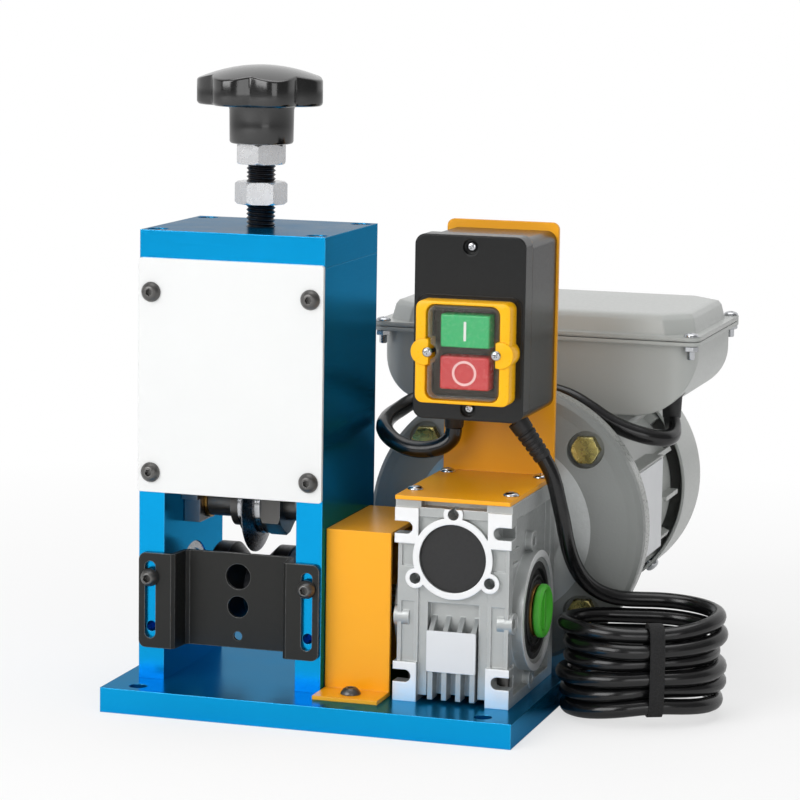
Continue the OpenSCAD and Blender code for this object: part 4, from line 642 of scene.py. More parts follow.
# The whole cord with a straight tail that climbs to the plug, and the tail's heading.
def powerCordLine(s, bundle, steps=6):
    way = bundle[-1] - bundle[-2]
    way.z = 0
    way.normalize()
    tail = []
    for k in range(1, steps + 1):
        lift = s["tailLift"] * (0.5 - 0.5 * math.cos(math.pi * k / steps))
        tail.append(bundle[-1] + way * s["tail"] * k / steps + Vector((0, 0, lift)))
    return dropLine(s, bundle[0], bundle[1] - bundle[0]) + bundle + tail, way


woundPoints = bundleLine(cordSettings)
cordPoints, plugWay = powerCordLine(cordSettings, woundPoints)
cordLine = [p * mm for p in cordPoints]
powerCord = curvePiece("powerCord", cordLine, cordSettings["diameter"] * mm,
                       ["power_cord", "cord_hank"])
cordLength = round(lineLength(cordLine), 3)
print("power cord length", cordLength)

leadSettings = {
    "diameter": 8.4,
    "points": [
        (46, 4, 134), (45, 4, 129), (40, 3, 124.5), (32, 2, 122.5), (23, 2, 123), (15, 4, 126),
        (9, 10, 129.5), (6, 20, 132), (5, 32, 133.5), (6, 44, 135), (9, 54, 137.5),
        (17, 61, 141), (29, 64, 144.5), (43, 64.5, 146.5), (58, 64, 147), (74, 64, 146.5),
        (88, 64, 143.5), (99, 64, 138), (108, 64.5, 132.5), (118, 66, 128), (128, 69, 125),
        (135, 75, 123.5), (137, 83, 124), (136, 90, 126.5), (134, 95, 131)],
}
leadLine = smoothLine([Vector(p) * mm for p in leadSettings["points"]], 6)
motorLead = curvePiece("motorLead", leadLine, leadSettings["diameter"] * mm, ["motor_lead"])
tuple(leadLine[0])
round(lineLength(leadLine), 3)


# Rubber sleeves where the leads enter: foot, top, radius at each and how many grooves.
grooveStart, groovePitch = 2.6, 3.0
reliefSettings = {
    "mainsRelief": {"foot": cordSettings["exit"], "top": cordSettings["exitFrom"],
                    "radii": (4.3, 5.1), "grooves": 5, "nodes": ["strain_relief"], "reach": 0.0},
    "switchRelief": {"foot": (46.0, 4.0, 134.0), "top": (46.0, 4.0, 144.5), "radii": (4.6, 5.2),
                     "grooves": 0, "nodes": ["lead_grommets"], "reach": 4.5},
    "boxRelief": {"foot": (134.0, 95.0, 131.0), "top": (134.0, 95.0, 146.5),
                  "radii": (4.6, 5.3), "grooves": 0, "nodes": [], "reach": 0.0},
}


def makeRelief(name, s):
    foot, top = Vector(s["foot"]), Vector(s["top"])
    axis = (top - foot).normalized()
    length = (top - foot).length + s["reach"]
    side = axis.cross(Vector((0, 1, 0))).normalized()
    over = axis.cross(side)
    low, high = s["radii"]
    profile = [(0.0001, 0.0), (low - 0.4, 0.0), (low, 0.5)]
    for k in range(s["grooves"]):
        at = grooveStart + groovePitch * k
        radius = low + (high - low) * at / length
        profile += [(radius, at), (radius - 0.5, at + 0.3), (radius - 0.5, at + 1.1),
                    (radius, at + 1.4)]
    profile += [(high, length - 1.0), (high, length), (0.0001, length)]
    rings = [[foot + axis * z + (side * c + over * n) * r for c, n in around(40)]
             for r, z in profile]
    addPiece(name, loft(name, rings), "blackRubber", s["nodes"], smooth=0.7)


for sleeve, sleeveSettings in reliefSettings.items():
    makeRelief(sleeve, sleeveSettings)

plugSettings = {
    "relief": 22.0, "ribs": 5, "ribRadius": 4.7, "ribGrowth": 0.42, "body": 28.0, "width": 26.0,
    "height": 15.0, "pinsApart": 12.7, "cordRadius": 4.3, "inCord": 3, "squareness": 0.55,
    # along a rib from its start, and how much larger than its radius it is there
    "rib": [(0, 0), (2.6, 0.3), (2.9, -0.5), (4.1, -0.4)],
    # along the body, and how much of its width and height it has there
    "outline": [(0, 0.56, 0.92), (2, 0.66, 0.95), (6, 0.86, 0.99), (10, 0.96, 1), (14, 1, 1),
                (24, 1, 1), (27, 0.985, 0.98), (28, 0.94, 0.93)],
    # along the pin from the body's face, half its thickness and half its height
    "pin": [(-1, 0.75, 3.1), (15.5, 0.75, 3.1), (17, 0.3, 2.2)],
}


# A moulded two-blade plug at the cord's end: a ribbed relief, then a rounded body.
def makePlug(s, end, way):
    side, up = Vector((-way.y, way.x, 0)), Vector((0, 0, 1))
    end = Vector((end.x, end.y, s["height"] / 2))

    def ring(along, halfWide, halfHigh, square=1):
        return [end + way * along + side * halfWide * signedPower(c, square)
                + up * halfHigh * signedPower(n, square) for c, n in around(40)]

    rings = [ring(-s["inCord"], s["cordRadius"], s["cordRadius"])]
    for i in range(s["ribs"]):
        at, size = i * s["relief"] / s["ribs"], s["ribRadius"] + s["ribGrowth"] * i
        rings += [ring(at + on, size + more, size + more) for on, more in s["rib"]]
    for along, wide, high in s["outline"]:
        rings.append(ring(s["relief"] + along, s["width"] / 2 * wide, s["height"] / 2 * high,
                          s["squareness"]))
    body = addPiece("plugBody", loft("plugBody", rings), "blackCase",
                    ["cord_plug"])
    face = end + way * (s["relief"] + s["body"])
    pins = []
    for across in (-s["pinsApart"] / 2, s["pinsApart"] / 2):
        pins.append(loft("plugPin", [
            [face + way * along + side * (across + b * thick) + up * c * high
             for b, c in ((-1, -1), (1, -1), (1, 1), (-1, 1))] for along, thick, high in s["pin"]]))
    return body, addPiece("plugPins", joined("plugPins", pins), "pinBrass", smooth=0)


plugBody, plugPins = makePlug(plugSettings, cordPoints[-1], plugWay)

tieSettings = {
    "width": 7.0, "thickness": 1.1, "slack": 0.35, "start": 1.2, "steps": 48, "overlap": 14,
    "nearTie": 2.2, "squareness": (0.6, 0.5),
    # where it lies over its own start: steps before that, how far it lifts at once, and how
    # much of its thickness it climbs with each step
    "lapEarly": 4, "lapGap": 0.35, "lapRise": 0.09,
}


# A black strap round the strands where the bundle is drawn in, with its loose end.
def makeTie(s, cord, points):
    turned = math.radians(cord["bundleTurn"])
    along = Vector((math.cos(turned), math.sin(turned), 0))
    outward = Vector((math.sin(turned), -math.cos(turned), 0))
    centre = Vector((*cord["bundleCentre"], 0))
    strands = [p for p in points
               if abs((p - centre).dot(along)) < s["nearTie"] and (p - centre).dot(outward) > 0]
    sides = [(p - centre).dot(outward) for p in strands]
    heights = [p.z for p in strands]
    radius = cord["diameter"] / 2 + s["slack"]
    halfWide = (max(sides) - min(sides)) / 2 + radius
    halfHigh = (max(heights) - min(heights)) / 2 + radius
    centre += outward * (max(sides) + min(sides)) / 2
    centre.z = (max(heights) + min(heights)) / 2
    rings = []
    for i in range(s["steps"] + s["overlap"]):
        a = 2 * math.pi * i / s["steps"] + s["start"]
        over = i - s["steps"] + s["lapEarly"]
        lift = over * s["lapRise"] * s["thickness"] + s["lapGap"] if over > 0 else 0.0
        c, n = math.cos(a), math.sin(a)
        place = (centre + outward * signedPower(c, s["squareness"][0]) * (halfWide + lift)
                 + Vector((0, 0, signedPower(n, s["squareness"][1]) * (halfHigh + lift))))
        normal = (outward * c + Vector((0, 0, n))).normalized()
        rings.append([place + along * b * s["width"] / 2 + normal * t * s["thickness"]
                      for b, t in ((-1, 0), (1, 0), (1, 1), (-1, 1))])
    return addPiece("bundleTie", loft("bundleTie", rings), "strapFabric",
                    smooth=1.0)


bundleTie = makeTie(tieSettings, cordSettings, woundPoints)
print("cords laid")


# Screws, placed by Geometry Nodes
# A Geometry Nodes group that sets a screw on every point, turned to its aim.
def makePlacer():
    group, add, wire, start, end = newGroup(
        "placeScrews", [("Points", "Geometry"), ("Screw", "Object"), ("Finish", "Material"),
                        ("Size", "Float")], [("Screws", "Geometry")], "GeometryNodeTree")
    aim = add("GeometryNodeInputNamedAttribute", {"Name": "aim"}, data_type="FLOAT_VECTOR")
    turn = add("GeometryNodeInputNamedAttribute", {"Name": "turn"}, data_type="FLOAT")
    align = add("FunctionNodeAlignRotationToVector", axis="Z")
    spin = add("FunctionNodeAxisAngleToRotation", {"Axis": (0, 0, 1)})
    both = add("FunctionNodeRotateRotation", rotation_space="LOCAL")
    source, place = add("GeometryNodeObjectInfo"), add("GeometryNodeInstanceOnPoints")
    real, dress = add("GeometryNodeRealizeInstances"), add("GeometryNodeSetMaterial")
    wire((aim, "Attribute", align, "Vector"), (turn, "Attribute", spin, "Angle"),
         (align, "Rotation", both, "Rotation"), (spin, "Rotation", both, "Rotate By"),
         (start, "Screw", source, "Object"), (start, "Points", place, "Points"),
         (source, "Geometry", place, "Instance"), (both, "Rotation", place, "Rotation"),
         (start, "Size", place, "Scale"), (place, "Instances", real, "Geometry"),
         (real, "Geometry", dress, "Geometry"), (start, "Finish", dress, "Material"),
         (dress, "Geometry", end, "Screws"))
    return group


placer = makePlacer()


# One piece of screws: each spot is a place in millimetres, an aim and a turn in degrees.
def placeScrews(name, screw, spots, replaced=(), finish="zincScrew"):
    source = newObject(name + "Source", screw)
    mesh = bpy.data.meshes.new(name)
    mesh.from_pydata([Vector(place) * mm for place, _, _ in spots], [], [])
    aim = mesh.attributes.new("aim", "FLOAT_VECTOR", "POINT")
    aim.data.foreach_set("vector", [c for _, a, _ in spots for c in a])
    turn = mesh.attributes.new("turn", "FLOAT", "POINT")
    turn.data.foreach_set("value", [math.radians(t) for _, _, t in spots])
    placed = runNodes(name, mesh, placer, {"Screw": source, "Finish": finishes[finish],
                                           "Size": 1.0})
    bpy.data.objects.remove(source)
    addPiece(name, placed, finish, replaced, smooth=0.7)


# Shares of a head's width or height: the cross, how deep cross and socket go, a nut's corners
headShares = {"crossReach": 0.28, "crossHalf": 0.065, "crossFloor": 0.35, "crossFoot": 0.6,
              "socketFloor": 0.3, "nutCorner": 0.04, "nutFace": 0.9}


def crossOutline(reach, half):
    return [(reach, -half), (reach, half), (half, half), (half, reach), (-half, reach),
            (-half, half), (-reach, half), (-reach, -half), (-half, -half), (-half, -reach),
            (half, -reach), (half, -half)]


def hexOutline(flats):
    r = flats / 2 / math.cos(math.pi / 6)
    return [(r * c, r * n) for c, n in around(6)]


# A pan head with a cross, over its shank.
def crossScrew(name, head, high, shank, depth, lip=0.25):
    profile = [(0.0001, -depth), (shank / 2 - 0.3, -depth), (shank / 2, -depth + 0.4),
               (shank / 2, 0), (head / 2 - lip, 0), (head / 2, lip)]
    for i in range(1, 9):
        a = math.pi / 2 * i / 8
        profile.append((head / 2 * math.cos(a) ** 0.8 if i < 8 else 0.0001,
                        lip + (high - lip) * math.sin(a)))
    s = headShares
    cross = prism(name + "Cross", crossOutline(head * s["crossReach"], head * s["crossHalf"]),
                  (high * s["crossFloor"], s["crossFoot"]), (high + 1, 1.0))
    return cutBy(lathe(name, profile), cross, name)


# A button head with a hexagon socket, over its shank.
def socketButton(name, head, high, shank, depth, flats):
    profile = [(0.0001, -depth), (shank / 2, -depth), (shank / 2, 0), (head / 2 - 0.2, 0),
               (head / 2, 0.25), (head / 2 - 0.05, 0.6), (head * 0.46, high * 0.42),
               (head * 0.38, high * 0.74), (head * 0.3, high * 0.94), (head * 0.26, high),
               (0.0001, high)]
    socket = prism(name + "Hex", hexOutline(flats), (high * headShares["socketFloor"], 1.0),
                   (high + 1, 1.0))
    return cutBy(lathe(name, profile), socket, name)


# A nut with turned corners, standing on its lower face.
def hexNut(name, flats, high, bore):
    edge, face = flats * headShares["nutCorner"], headShares["nutFace"]
    nut = prism(name, hexOutline(flats), (0, face), (edge, 1.0), (high - edge, 1.0),
                (high, face))
    hole = lathe(name + "Hole", [(bore / 2, -1), (bore / 2, high + 1)], 32)
    return cutBy(nut, hole, name)


# Places that more than one piece goes by: the tower's middle and the press screw in it, the
# motor's and switch's middle, the switch cover's and bezel's faces, and the boot's middle
towerX, rodY, switchX, switchFace, bezelFace, bootZ = -46.0, -20.0, 65.0, -39.0, -51.0, 177.8
forward, upward = (0, -1, 0), (0, 0, 1)
# Screws: where they stand from the middle of what they hold, and how far each is turned
screwSettings = {
    "coverY": -62.0,
    "cover": [(-40, 113.8, 12), (40, 113.8, 41), (-40, 200.8, 25), (40, 200.8, 3)],
    "coverFoot": ((16.9, -63.5, 14), upward, 18),
    "guideZ": 62.5,
    "guideStandOut": 5,
    "guide": [(-39.9, 20), (39.9, 50)],
    "bracketZ": 111.0,
    "bracket": [(-23.5, -44, 20), (23.5, -44, 65), (-23.5, 10, 38), (23.5, 10, 5)],
    "cowlCentre": (switchX, 174, 82),
    "cowlRadius": 61,
    "cowl": [(45, 15), (135, 70), (225, 40), (315, 5)],
    "boxY": 132,
    "lidZ": 174.3,
    "lid": [(-80.5, -49.5, -86), (-80.5, 49.5, 62), (80.5, -49.5, -12), (80.5, 49.5, 136)],
    "nutZ": 167.0,
    "nutTurn": 11,
    "switch": [(150.0, 30), (226.7, 72)],
    "bezel": [(-16.7, 12), (16.7, 55)],
}


def makeScrews(s):
    placeScrews("coverScrews", socketButton("buttonHead", 9.7, 3.2, 5, 12, 3.1),
                [((towerX + x, s["coverY"], z), forward, t) for x, z, t in s["cover"]]
                + [s["coverFoot"]], ["cover_screws"], "blackScrew")
    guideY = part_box("guide_screws")[0].y / mm + s["guideStandOut"]
    placeScrews("guideScrews", socketButton("guideHead", 9.0, 4.4, 5, 13.5, 3.6),
                [((towerX + x, guideY, s["guideZ"]), forward, t) for x, t in s["guide"]],
                ["guide_screws"], "blackScrew")
    placeScrews("bracketScrews", crossScrew("smallHead", 7.6, 1.9, 4, 7.5),
                [((switchX + x, y, s["bracketZ"]), upward, t) for x, y, t in s["bracket"]])
    cowlSpots = []
    for angle, t in s["cowl"]:
        aim = Vector((math.cos(math.radians(angle)), 0, -math.sin(math.radians(angle))))
        cowlSpots.append((Vector(s["cowlCentre"]) + aim * s["cowlRadius"], aim, t))
    placeScrews("cowlScrews", crossScrew("cowlHead", 8, 2.6, 4, 7.5), cowlSpots)
    placeScrews("lidScrews", crossScrew("lidHead", 7.6, 2.0, 4, 11.5),
                [((switchX + x, s["boxY"] + y, s["lidZ"]), upward, t) for x, y, t in s["lid"]])
    placeScrews("lidNuts", hexNut("lidNut", 6.6, 2.6, 4.1),
                [((switchX + x, s["boxY"] + y, s["nutZ"]), upward, t + s["nutTurn"])
                 for x, y, t in s["lid"]], ["case_screws"])
    placeScrews("switchCoverScrews", crossScrew("coverHead", 5.0, 1.6, 4, 19),
                [((switchX, switchFace + 3, z), forward, t) for z, t in s["switch"]],
                ["switch_screws"])
    placeScrews("bezelScrews", crossScrew("bezelHead", 4.8, 1.5, 2.6, 11),
                [((switchX + x, bezelFace, bootZ), forward, t) for x, t in s["bezel"]])


makeScrews(screwSettings)
print("screws placed")

boreBox = [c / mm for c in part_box("bore_plug")]
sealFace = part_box("oil_seals")[1].x / mm
boreSettings = {
    "face": boreBox[1].x - 4.1, "y": (boreBox[0].y + boreBox[1].y) / 2,
    "z": (boreBox[0].z + boreBox[1].z) / 2, "rib": (8.9, 0.9), "ribHeights": (0.8, 3.3),
    "rings": (16.4, 20.6),
    # radius, and how far out of the hub
    "dish": [(0.0001, -6), (6.9, -6), (6.9, 0), (12, 0), (12.9, 0.8), (12.9, 2.6), (12.4, 3.6),
             (11.6, 4.0), (10.7, 3.7), (9.8, 2.6), (9.0, 1.9), (7.6, 1.5), (0.0001, 1.3)],
    # a moulded ring: out from its middle, and how far out of the seal
    "ring": [(-0.7, -0.2), (-0.45, 0.2), (0, 0.4), (0.45, 0.2), (0.7, -0.2)],
}


# A dished plastic plug with a raised rim and one rib across, and the seal's moulded rings.
def makeBorePlug(s):
    reach, half = s["rib"]
    rib = prism("boreRib", [(-reach, -half), (reach, -half), (reach, half), (-reach, half)],
                *((height, 1.0) for height in s["ribHeights"]))
    cap = cutBy(lathe("boreCap", s["dish"]), rib, "boreCap", "UNION")
    addPiece("borePlug", layTo(cap, (s["face"], s["y"], s["z"]), "Y"), "limePlastic",
             ["bore_plug"], "feed_drive", smooth=0.7)
    rings = [lathe("sealRing", [(radius + out, z) for out, z in s["ring"]], 64, True)
             for radius in s["rings"]]
    addPiece("sealRings", layTo(joined("sealRings", rings), (sealFace, s["y"], s["z"]), "Y"),
             "blackRubber", smooth=1.0)


makeBorePlug(boreSettings)
print("bore plug made")


# Press screw: thread and knob
threadSettings = {
    "pitch": 2.0, "ridge": 1.06, "core": 6.0, "low": 155.4, "steps": 40,
    "high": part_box("press_rod")[1].z / mm,
    # radius and height of the plain neck under the thread
    "neck": [(0.0001, 121.4), (4.6, 121.4), (5, 121.8), (5, 155.3), (0.0001, 155.3)],
}


# A Geometry Nodes group: a core with a ridge wound round it at an even pitch.
def makeThreadGroup():
    group, add, wire, start, end = newGroup(
        "woundThread", [("Start", "Geometry"), ("Core", "Float"), ("Height", "Float"),
                        ("Turns", "Float"), ("Ridge", "Float"), ("Points", "Int"),
                        ("Finish", "Material")], [("Thread", "Geometry")], "GeometryNodeTree")
    spiral = add("GeometryNodeCurveSpiral")
    ridge = add("GeometryNodeCurvePrimitiveCircle", {"Resolution": 4})
    level, sweep = add("GeometryNodeSetCurveNormal", mode="Z_UP"), add("GeometryNodeCurveToMesh")
    core, move = add("GeometryNodeMeshCylinder", {"Vertices": 48}), add("GeometryNodeTransform")
    half = add("ShaderNodeMath", {1: 0.5}, operation="MULTIPLY")
    lift, join = add("ShaderNodeCombineXYZ"), add("GeometryNodeJoinGeometry")
    real, dress = add("GeometryNodeRealizeInstances"), add("GeometryNodeSetMaterial")
    wire((start, "Core", spiral, "Start Radius"), (start, "Core", spiral, "End Radius"),
         (start, "Height", spiral, "Height"), (start, "Turns", spiral, "Rotations"),
         (start, "Points", spiral, "Resolution"), (start, "Ridge", ridge, "Radius"),
         (spiral, "Curve", level, "Curve"), (level, "Curve", sweep, "Curve"),
         (ridge, "Curve", sweep, "Profile Curve"), (start, "Core", core, "Radius"),
         (start, "Height", core, "Depth"), (start, "Height", half, 0), (half, 0, lift, "Z"),
         (core, "Mesh", move, "Geometry"), (lift, "Vector", move, "Translation"),
         (sweep, "Mesh", join, "Geometry"), (move, "Geometry", join, "Geometry"),
         (join, "Geometry", real, "Geometry"), (real, "Geometry", dress, "Geometry"),
         (start, "Finish", dress, "Material"), (dress, "Geometry", end, "Thread"))
    return group


def makeThread(s):
    length = s["high"] - s["low"]
    thread = runNodes("thread", bpy.data.meshes.new("threadStart"), makeThreadGroup(), {
        "Core": s["core"] * mm, "Height": length * mm, "Turns": length / s["pitch"],
        "Ridge": s["ridge"] * mm, "Points": s["steps"], "Finish": finishes["rodSteel"]})
    parts = [layTo(thread, (towerX, rodY, s["low"])),
             layTo(lathe("neck", s["neck"]), (towerX, rodY, 0))]
    addPiece("pressRodThread", joined("pressRodThread", parts), "rodSteel",
             ["press_rod"], "press_screw")


makeThread(threadSettings)

knobSettings = {
    "lobes": 7, "lobeSteps": 28, "turn": -5.8, "base": 270.3, "radius": 31.2, "scallop": 4.6,
    "edge": 31.0, "top": 37.8,
    # radius and height of the round hub, from its foot to the underside of the rim
    "hub": [(7.2, 0.0), (14.2, 0.0), (15.0, 0.35), (15.4, 1.2), (15.5, 9.0), (15.6, 16.2),
            (16.0, 17.8), (17.2, 18.4), (20.0, 18.5)],
    # the lobed wall: how far inside the outline, and the height
    "wall": [(3.0, 18.5), (1.3, 18.7), (0.4, 19.3), (0.0, 20.3), (0.0, 25.0)],
    # the edge of the crown: how far inside the outline, and how far under the crown
    "rounding": [(0.0, 0.9), (0.12, 0.45), (0.4, 0.14), (0.9, 0.0), (1.8, 0.0)],
    "crown": [0.9, 0.78, 0.64, 0.5, 0.36, 0.22, 0.1, 0.0001],
}


# A moulded knob: a round hub, a flat lobed wall with shallow scallops and a low crown.
def makeKnob(s):
    steps = s["lobes"] * s["lobeSteps"]
    rises = [(1 + math.cos(s["lobes"] * 2 * math.pi * k / steps)) / 2 for k in range(steps)]

    def outline(inset, share=1.0):
        return [(s["radius"] - s["scallop"] * (1 - rise ** 0.6) - inset) * share
                for rise in rises]

    def crown(radius):
        return s["top"] - (s["top"] - s["edge"]) * (radius / s["radius"]) ** 2

    rings = [[(r, z)] * steps for r, z in s["hub"]]
    rings += [[(r, z) for r in outline(inset)] for inset, z in s["wall"]]
    rings += [[(r, crown(r) - under) for r in outline(inset)] for inset, under in s["rounding"]]
    rings += [[(r, crown(r)) for r in outline(1.8, share)] for share in s["crown"]]
    ways = around(steps, math.radians(s["turn"]))
    placed = [[Vector((towerX + r * c, rodY + r * n, s["base"] + z))
               for (c, n), (r, z) in zip(ways, ring)] for ring in rings]
    addPiece("lobedKnob", loft("lobedKnob", placed), "blackKnob",
             ["press_knob"], "press_screw", smooth=0.7)


makeKnob(knobSettings)
print("press screw made")


# Switch: buttons with their marks, the clear boot and the bezel round it
def roundedOutline(halfWide, halfHigh, radius, steps=8):
    outline = []
    for cx, cz, start in ((1, 1, 0), (-1, 1, 90), (-1, -1, 180), (1, -1, 270)):
        for k in range(steps + 1):
            a = math.radians(start + 90 * k / steps)
            outline.append((cx * (halfWide - radius) + radius * math.cos(a),
                            cz * (halfHigh - radius) + radius * math.sin(a)))
    return outline


# Rings seen from the front, each an outline of X and Z round the switch's middle, and its Y.
def frontRings(height, outlines):
    return [[Vector((switchX + x, y, height + z)) for x, z in outline]
            for outline, y in outlines]


buttonSettings = {
    "startKey": {"node": "start_button", "finish": "greenButton", "slot": "green_button",
                 "z": 187.75, "half": 7.85},
    "stopKey": {"node": "stop_button", "finish": "redButton", "slot": "red_button",
                "z": 167.9, "half": 7.9},
}
keySettings = {
    "front": -46.0,
    # half width, how much less than half height, corner radius, and how far behind the front
    "rings": [(12.05, 0, 1.0, 17), (12.05, 0, 1.0, 1.1), (11.85, 0.2, 1.1, 0.4),
              (11.3, 0.75, 1.2, 0), (11.0, 1.05, 1.2, 0.02)],
    # a ring for off and a bar for on, from behind the face to a little proud of it
    "offRing": (5.35, 1.15),
    "onBar": (0.62, 4.6, 0.2),
    "sunk": 0.2,
    "proud": 0.12,
}


def makeKeys(buttons, s):
    for name, button in buttons.items():
        rings = frontRings(button["z"], [
            (roundedOutline(wide, button["half"] - less, corner), s["front"] + behind)
            for wide, less, corner, behind in s["rings"]])
        addPiece(name, loft(name, rings), button["finish"], [button["node"]],
                 button["node"], smooth=0.9)
    radius, width = s["offRing"]
    low, high = radius - width / 2, radius + width / 2
    ring = lathe("stopRing", [(high, -s["sunk"]), (high, s["proud"]), (low, s["proud"]),
                              (low, -s["sunk"])], 64, True)
    addPiece("stopRing", layTo(ring, (switchX, s["front"], buttons["stopKey"]["z"]), "X"),
             "paleMark", body="stop_button")
    bar = frontRings(buttons["startKey"]["z"], [
        (roundedOutline(*s["onBar"]), s["front"] + behind)
        for behind in (s["sunk"], -s["proud"])])
    addPiece("startBar", loft("startBar", bar), "whiteMark",
             body="start_button")


makeKeys(buttonSettings, keySettings)

bootSettings = {
    "halfWide": 17.4, "halfHigh": 22.2, "corner": 4.2, "ear": 16.7, "notch": 3.6, "lobe": 16.0,
    "lobeHalf": 6.6, "back": -39.2, "front": -50.7, "spacing": 0.5,
    # the rounding of the front: how far inside the outline, and how far behind the front
    "rounding": [(0, 2.6), (0.2, 1.6), (0.7, 0.8), (1.5, 0.25), (2.4, 0), (3.4, 0.02)],
}


# The boot's outline, with a notch at each side for the screw ears.
def bootOutline(s, inset):
    points = roundedOutline(s["halfWide"] - inset, s["halfHigh"] - inset, s["corner"] - inset,
                            10)
    dense = []
    for (x0, z0), (x1, z1) in zip(points, points[1:] + points[:1]):
        steps = max(1, int(math.hypot(x1 - x0, z1 - z0) / s["spacing"]))
        dense += [(x0 + (x1 - x0) * k / steps, z0 + (z1 - z0) * k / steps) for k in range(steps)]
    outline = []
    for x, z in dense:
        limit = s["halfWide"] - inset
        radius = s["notch"] + inset
        if abs(z) < s["lobeHalf"] + inset:
            limit = min(limit, s["lobe"] - inset)
        if abs(z) < radius:
            limit = min(limit, s["ear"] - math.sqrt(radius * radius - z * z))
        outline.append((math.copysign(min(abs(x), limit), x), z))
    return outline


def makeBoot(s):
    rings = frontRings(bootZ, [(bootOutline(s, 0), s["back"])] + [
        (bootOutline(s, inset), s["front"] + behind) for inset, behind in s["rounding"]])
    low = min(len(r) for r in rings)
    rings = [[r[int(k * len(r) / low)] for k in range(low)] for r in rings]
    addPiece("clearBoot", loft("clearBoot", rings, capStart=False), "clearSilicone",
             ["clear_boot"], smooth=1.0)


makeBoot(bootSettings)

bezelSettings = {
    "frame": (23.0, 24.2, 3.6), "window": (18.0, 22.6, 4.4), "rounding": 0.7, "front": -50.0,
    "back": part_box("button_bezel")[1].y / mm, "earAt": 18.7, "earRadius": 6.3, "earFrom": 16.3,
    # the rounding of an ear: how far inside its outline, and how far behind its face
    "earEdge": [(0, 0.4), (0.15, 0.1), (0.5, 0)],
}


# Points where rays from the middle leave a rounded rectangle.
def rayOutline(wide, high, corner, steps=360, reach=60.0, halvings=24):
    outline = []
    for c, n in around(steps, math.pi / steps):
        near, far = 0.0, reach
        for _ in range(halvings):
            half = (near + far) / 2
            beyond = math.hypot(max(abs(half * c) - wide + corner, 0),
                                max(abs(half * n) - high + corner, 0))
            near, far = (half, far) if beyond <= corner else (near, half)
        outline.append((near * c, near * n))
    return outline


# The frame round the boot, with a raised half disc behind each of its two screws.
def makeBezel(s):
    rounding, front, back = s["rounding"], s["front"], s["back"]
    rings = frontRings(bootZ, [
        (rayOutline(*(size - inset for size in s[edge])), y) for edge, inset, y in (
            ("frame", 0, back), ("frame", 0, front + rounding),
            ("frame", 0.3 * rounding, front + 0.3 * rounding), ("frame", rounding, front),
            ("window", -0.3, front), ("window", 0, front + 0.3), ("window", 0, back))])
    mesh = loft("buttonBezel", rings, True)
    start = math.acos((s["earFrom"] - s["earAt"]) / s["earRadius"])
    levels = [(0, back)] + [(inset, bezelFace + behind) for inset, behind in s["earEdge"]]
    for side in (-1, 1):
        ears = frontRings(bootZ, [
            ([(side * (s["earAt"] + (s["earRadius"] - inset) * math.cos(a)),
               (s["earRadius"] - inset) * math.sin(a))
              for a in (start * (1 - 2 * k / 40) for k in range(41))], y) for inset, y in levels])
        mesh = cutBy(mesh, loft("ear", ears), "buttonBezel", "UNION")
    addPiece("buttonBezel", mesh, "yellowPlastic", ["button_bezel"])


makeBezel(bezelSettings)

beadSettings = {"frame": (25.4, 25.9, 4.6), "radius": 0.45, "foot": 4.2}


# A low bead on the cover, over the bezel and down its sides.
def makeBead(s):
    path = sorted((p for p in roundedOutline(*s["frame"], 10) if p[1] > s["foot"] - s["frame"][1]),
                  key=lambda p: math.atan2(p[0], p[1]))
    rings = []
    for k, (x, z) in enumerate(path):
        before, after = path[max(k - 1, 0)], path[min(k + 1, len(path) - 1)]
        way = Vector((after[0] - before[0], 0, after[1] - before[1])).normalized()
        side = Vector((way.z, 0, -way.x))
        rings.append([Vector((switchX + x, switchFace, bootZ + z)) + side * s["radius"] * c
                      + Vector((0, s["radius"] * n, 0)) for c, n in around(10)])
    addPiece("coverBead", loft("coverBead", rings), "blackCase", smooth=1.0)


makeBead(beadSettings)
print("switch made")


# Floor, lights and surroundings
stageSettings = {
    "size": 8,
    "grey": 0.86,
    # how far from the middle the glow starts and is full, and how strong it is at both
    "glow": {"From Min": 0.2, "From Max": 0.7, "To Min": 0.62, "To Max": 1.0},
}


# A pale floor that looks white to the camera, and keeps the machine's shadow.
def makeStage(s):
    mesh = bpy.data.meshes.new("floor")
    mesh.from_pydata([(x * s["size"], y * s["size"], 0)
                      for x, y in ((-1, -1), (1, -1), (1, 1), (-1, 1))], [], [(0, 1, 2, 3)])
    material = bpy.data.materials.new("floorWhite")
    material.use_nodes = True
    tree = material.node_tree
    add, wire = treeTools(tree)
    surface = tree.nodes["Principled BSDF"]
    surface.inputs["Base Color"].default_value = (s["grey"], s["grey"], s["grey"], 1)
    surface.inputs["Roughness"].default_value = 0.9
    surface.inputs["Specular IOR Level"].default_value = 0.1
    glow, mix = add("ShaderNodeEmission", {"Strength": 1.0}), add("ShaderNodeMixShader")
    seen, place = add("ShaderNodeLightPath"), add("ShaderNodeTexCoord")
    far, spread = add("ShaderNodeVectorMath", operation="LENGTH"), add(
        "ShaderNodeMapRange", s["glow"])
    share = add("ShaderNodeMath", operation="MULTIPLY")
    wire((place, "Object", far, 0), (far, "Value", spread, "Value"),
         (spread, "Result", share, 0), (seen, "Is Camera Ray", share, 1), (share, 0, mix, 0),
         (surface, 0, mix, 1), (glow, 0, mix, 2),
         (mix, 0, tree.nodes["Material Output"], "Surface"))
    mesh.materials.append(material)
    newObject("floor", mesh)


worldSettings = {
    "soft": 0.5,
    "seen": 1.0,
    # how bright each side of the studio shows in shiny surfaces: axis, where it starts, where
    # it is full, and how bright
    "mirrored": [("Y", 0.1, 0.6, 0.85), ("Z", 0.45, 0.8, 0.5), ("X", -0.72, -0.9, 0.9)],
    "mirroredLow": 0.22,
}


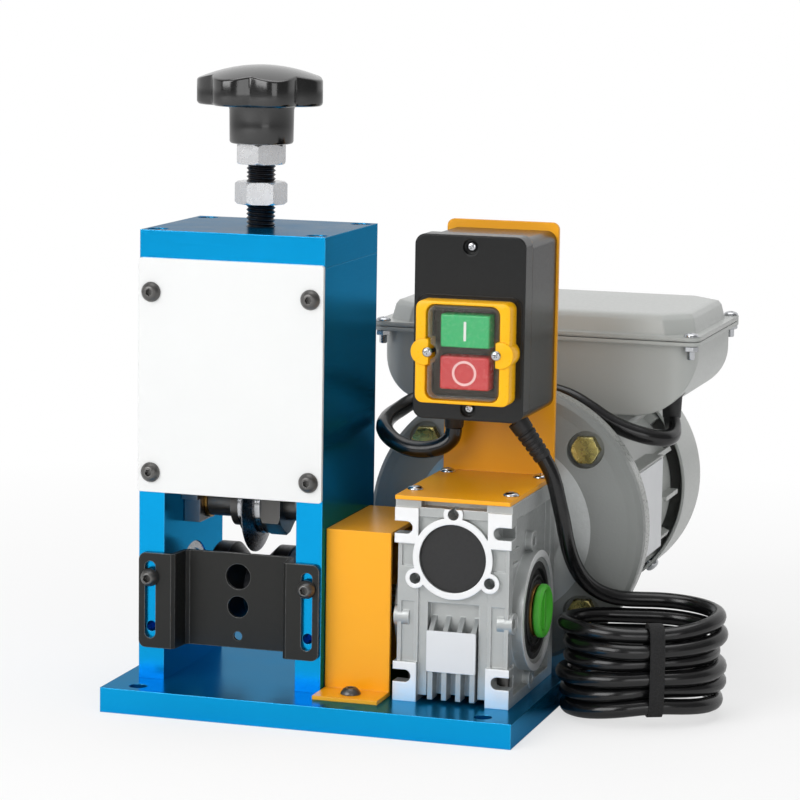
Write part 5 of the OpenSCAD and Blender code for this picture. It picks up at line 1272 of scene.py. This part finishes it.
# White for the camera, soft all round for the light, and a darker front in reflections.
def makeWorld(s):
    world = bpy.data.worlds.new("studio")
    bpy.context.scene.world = world
    world.use_nodes = True
    tree = world.node_tree
    add, wire = treeTools(tree)
    pure = {"Color": (1, 1, 1, 1)}
    soft = tree.nodes["Background"]
    soft.inputs["Color"].default_value = pure["Color"]
    soft.inputs["Strength"].default_value = s["soft"]
    white = add("ShaderNodeBackground", {**pure, "Strength": s["seen"]})
    shown, rays = add("ShaderNodeBackground", pure), add("ShaderNodeLightPath")
    way, apart = add("ShaderNodeTexCoord"), add("ShaderNodeSeparateXYZ")
    wire((way, "Generated", apart, "Vector"))
    total = None
    for axis, start, full, bright in s["mirrored"]:
        side = add("ShaderNodeMapRange", {"From Min": start, "From Max": full, "To Max": bright},
                   interpolation_type="SMOOTHSTEP")
        brighter = add("ShaderNodeMath", {1: s["mirroredLow"]}, operation="MAXIMUM")
        wire((apart, axis, side, "Value"), (side, "Result", brighter, 0))
        if total:
            wire((total, 0, brighter, 1))
        total = brighter
    straight = add("ShaderNodeMath", operation="MAXIMUM")
    glossy, mix = add("ShaderNodeMixShader"), add("ShaderNodeMixShader")
    wire((total, 0, shown, "Strength"), (rays, "Is Camera Ray", straight, 0),
         (rays, "Is Transmission Ray", straight, 1), (rays, "Is Glossy Ray", glossy, 0),
         (soft, 0, glossy, 1), (shown, 0, glossy, 2), (straight, 0, mix, 0), (glossy, 0, mix, 1),
         (white, 0, mix, 2), (mix, 0, tree.nodes["World Output"], "Surface"))


lampSettings = {
    "key": {"place": (-0.8, -1.6, 1.0), "size": (1.4, 1.2), "power": 22.5},
    "fill": {"place": (0.9, -1.5, 0.5), "size": (0.8, 0.8), "power": 4},
    "top": {"place": (0.0, 0.2, 1.9), "size": (1.4, 1.4), "power": 12},
}
lampAim = (0, 0, 0.13)


def makeLamps(settings):
    for name, s in settings.items():
        data = bpy.data.lights.new(name, "AREA")
        data.shape = "RECTANGLE"
        data.size, data.size_y = s["size"]
        data.energy = s["power"]
        lamp = newObject(name, data)
        lamp.location = s["place"]
        way = Vector(lampAim) - Vector(s["place"])
        lamp.rotation_euler = way.to_track_quat("-Z", "Y").to_euler()


makeStage(stageSettings)
makeWorld(worldSettings)
makeLamps(lampSettings)
bpy.context.scene.view_settings.view_transform = "Standard"
print("stage lit")
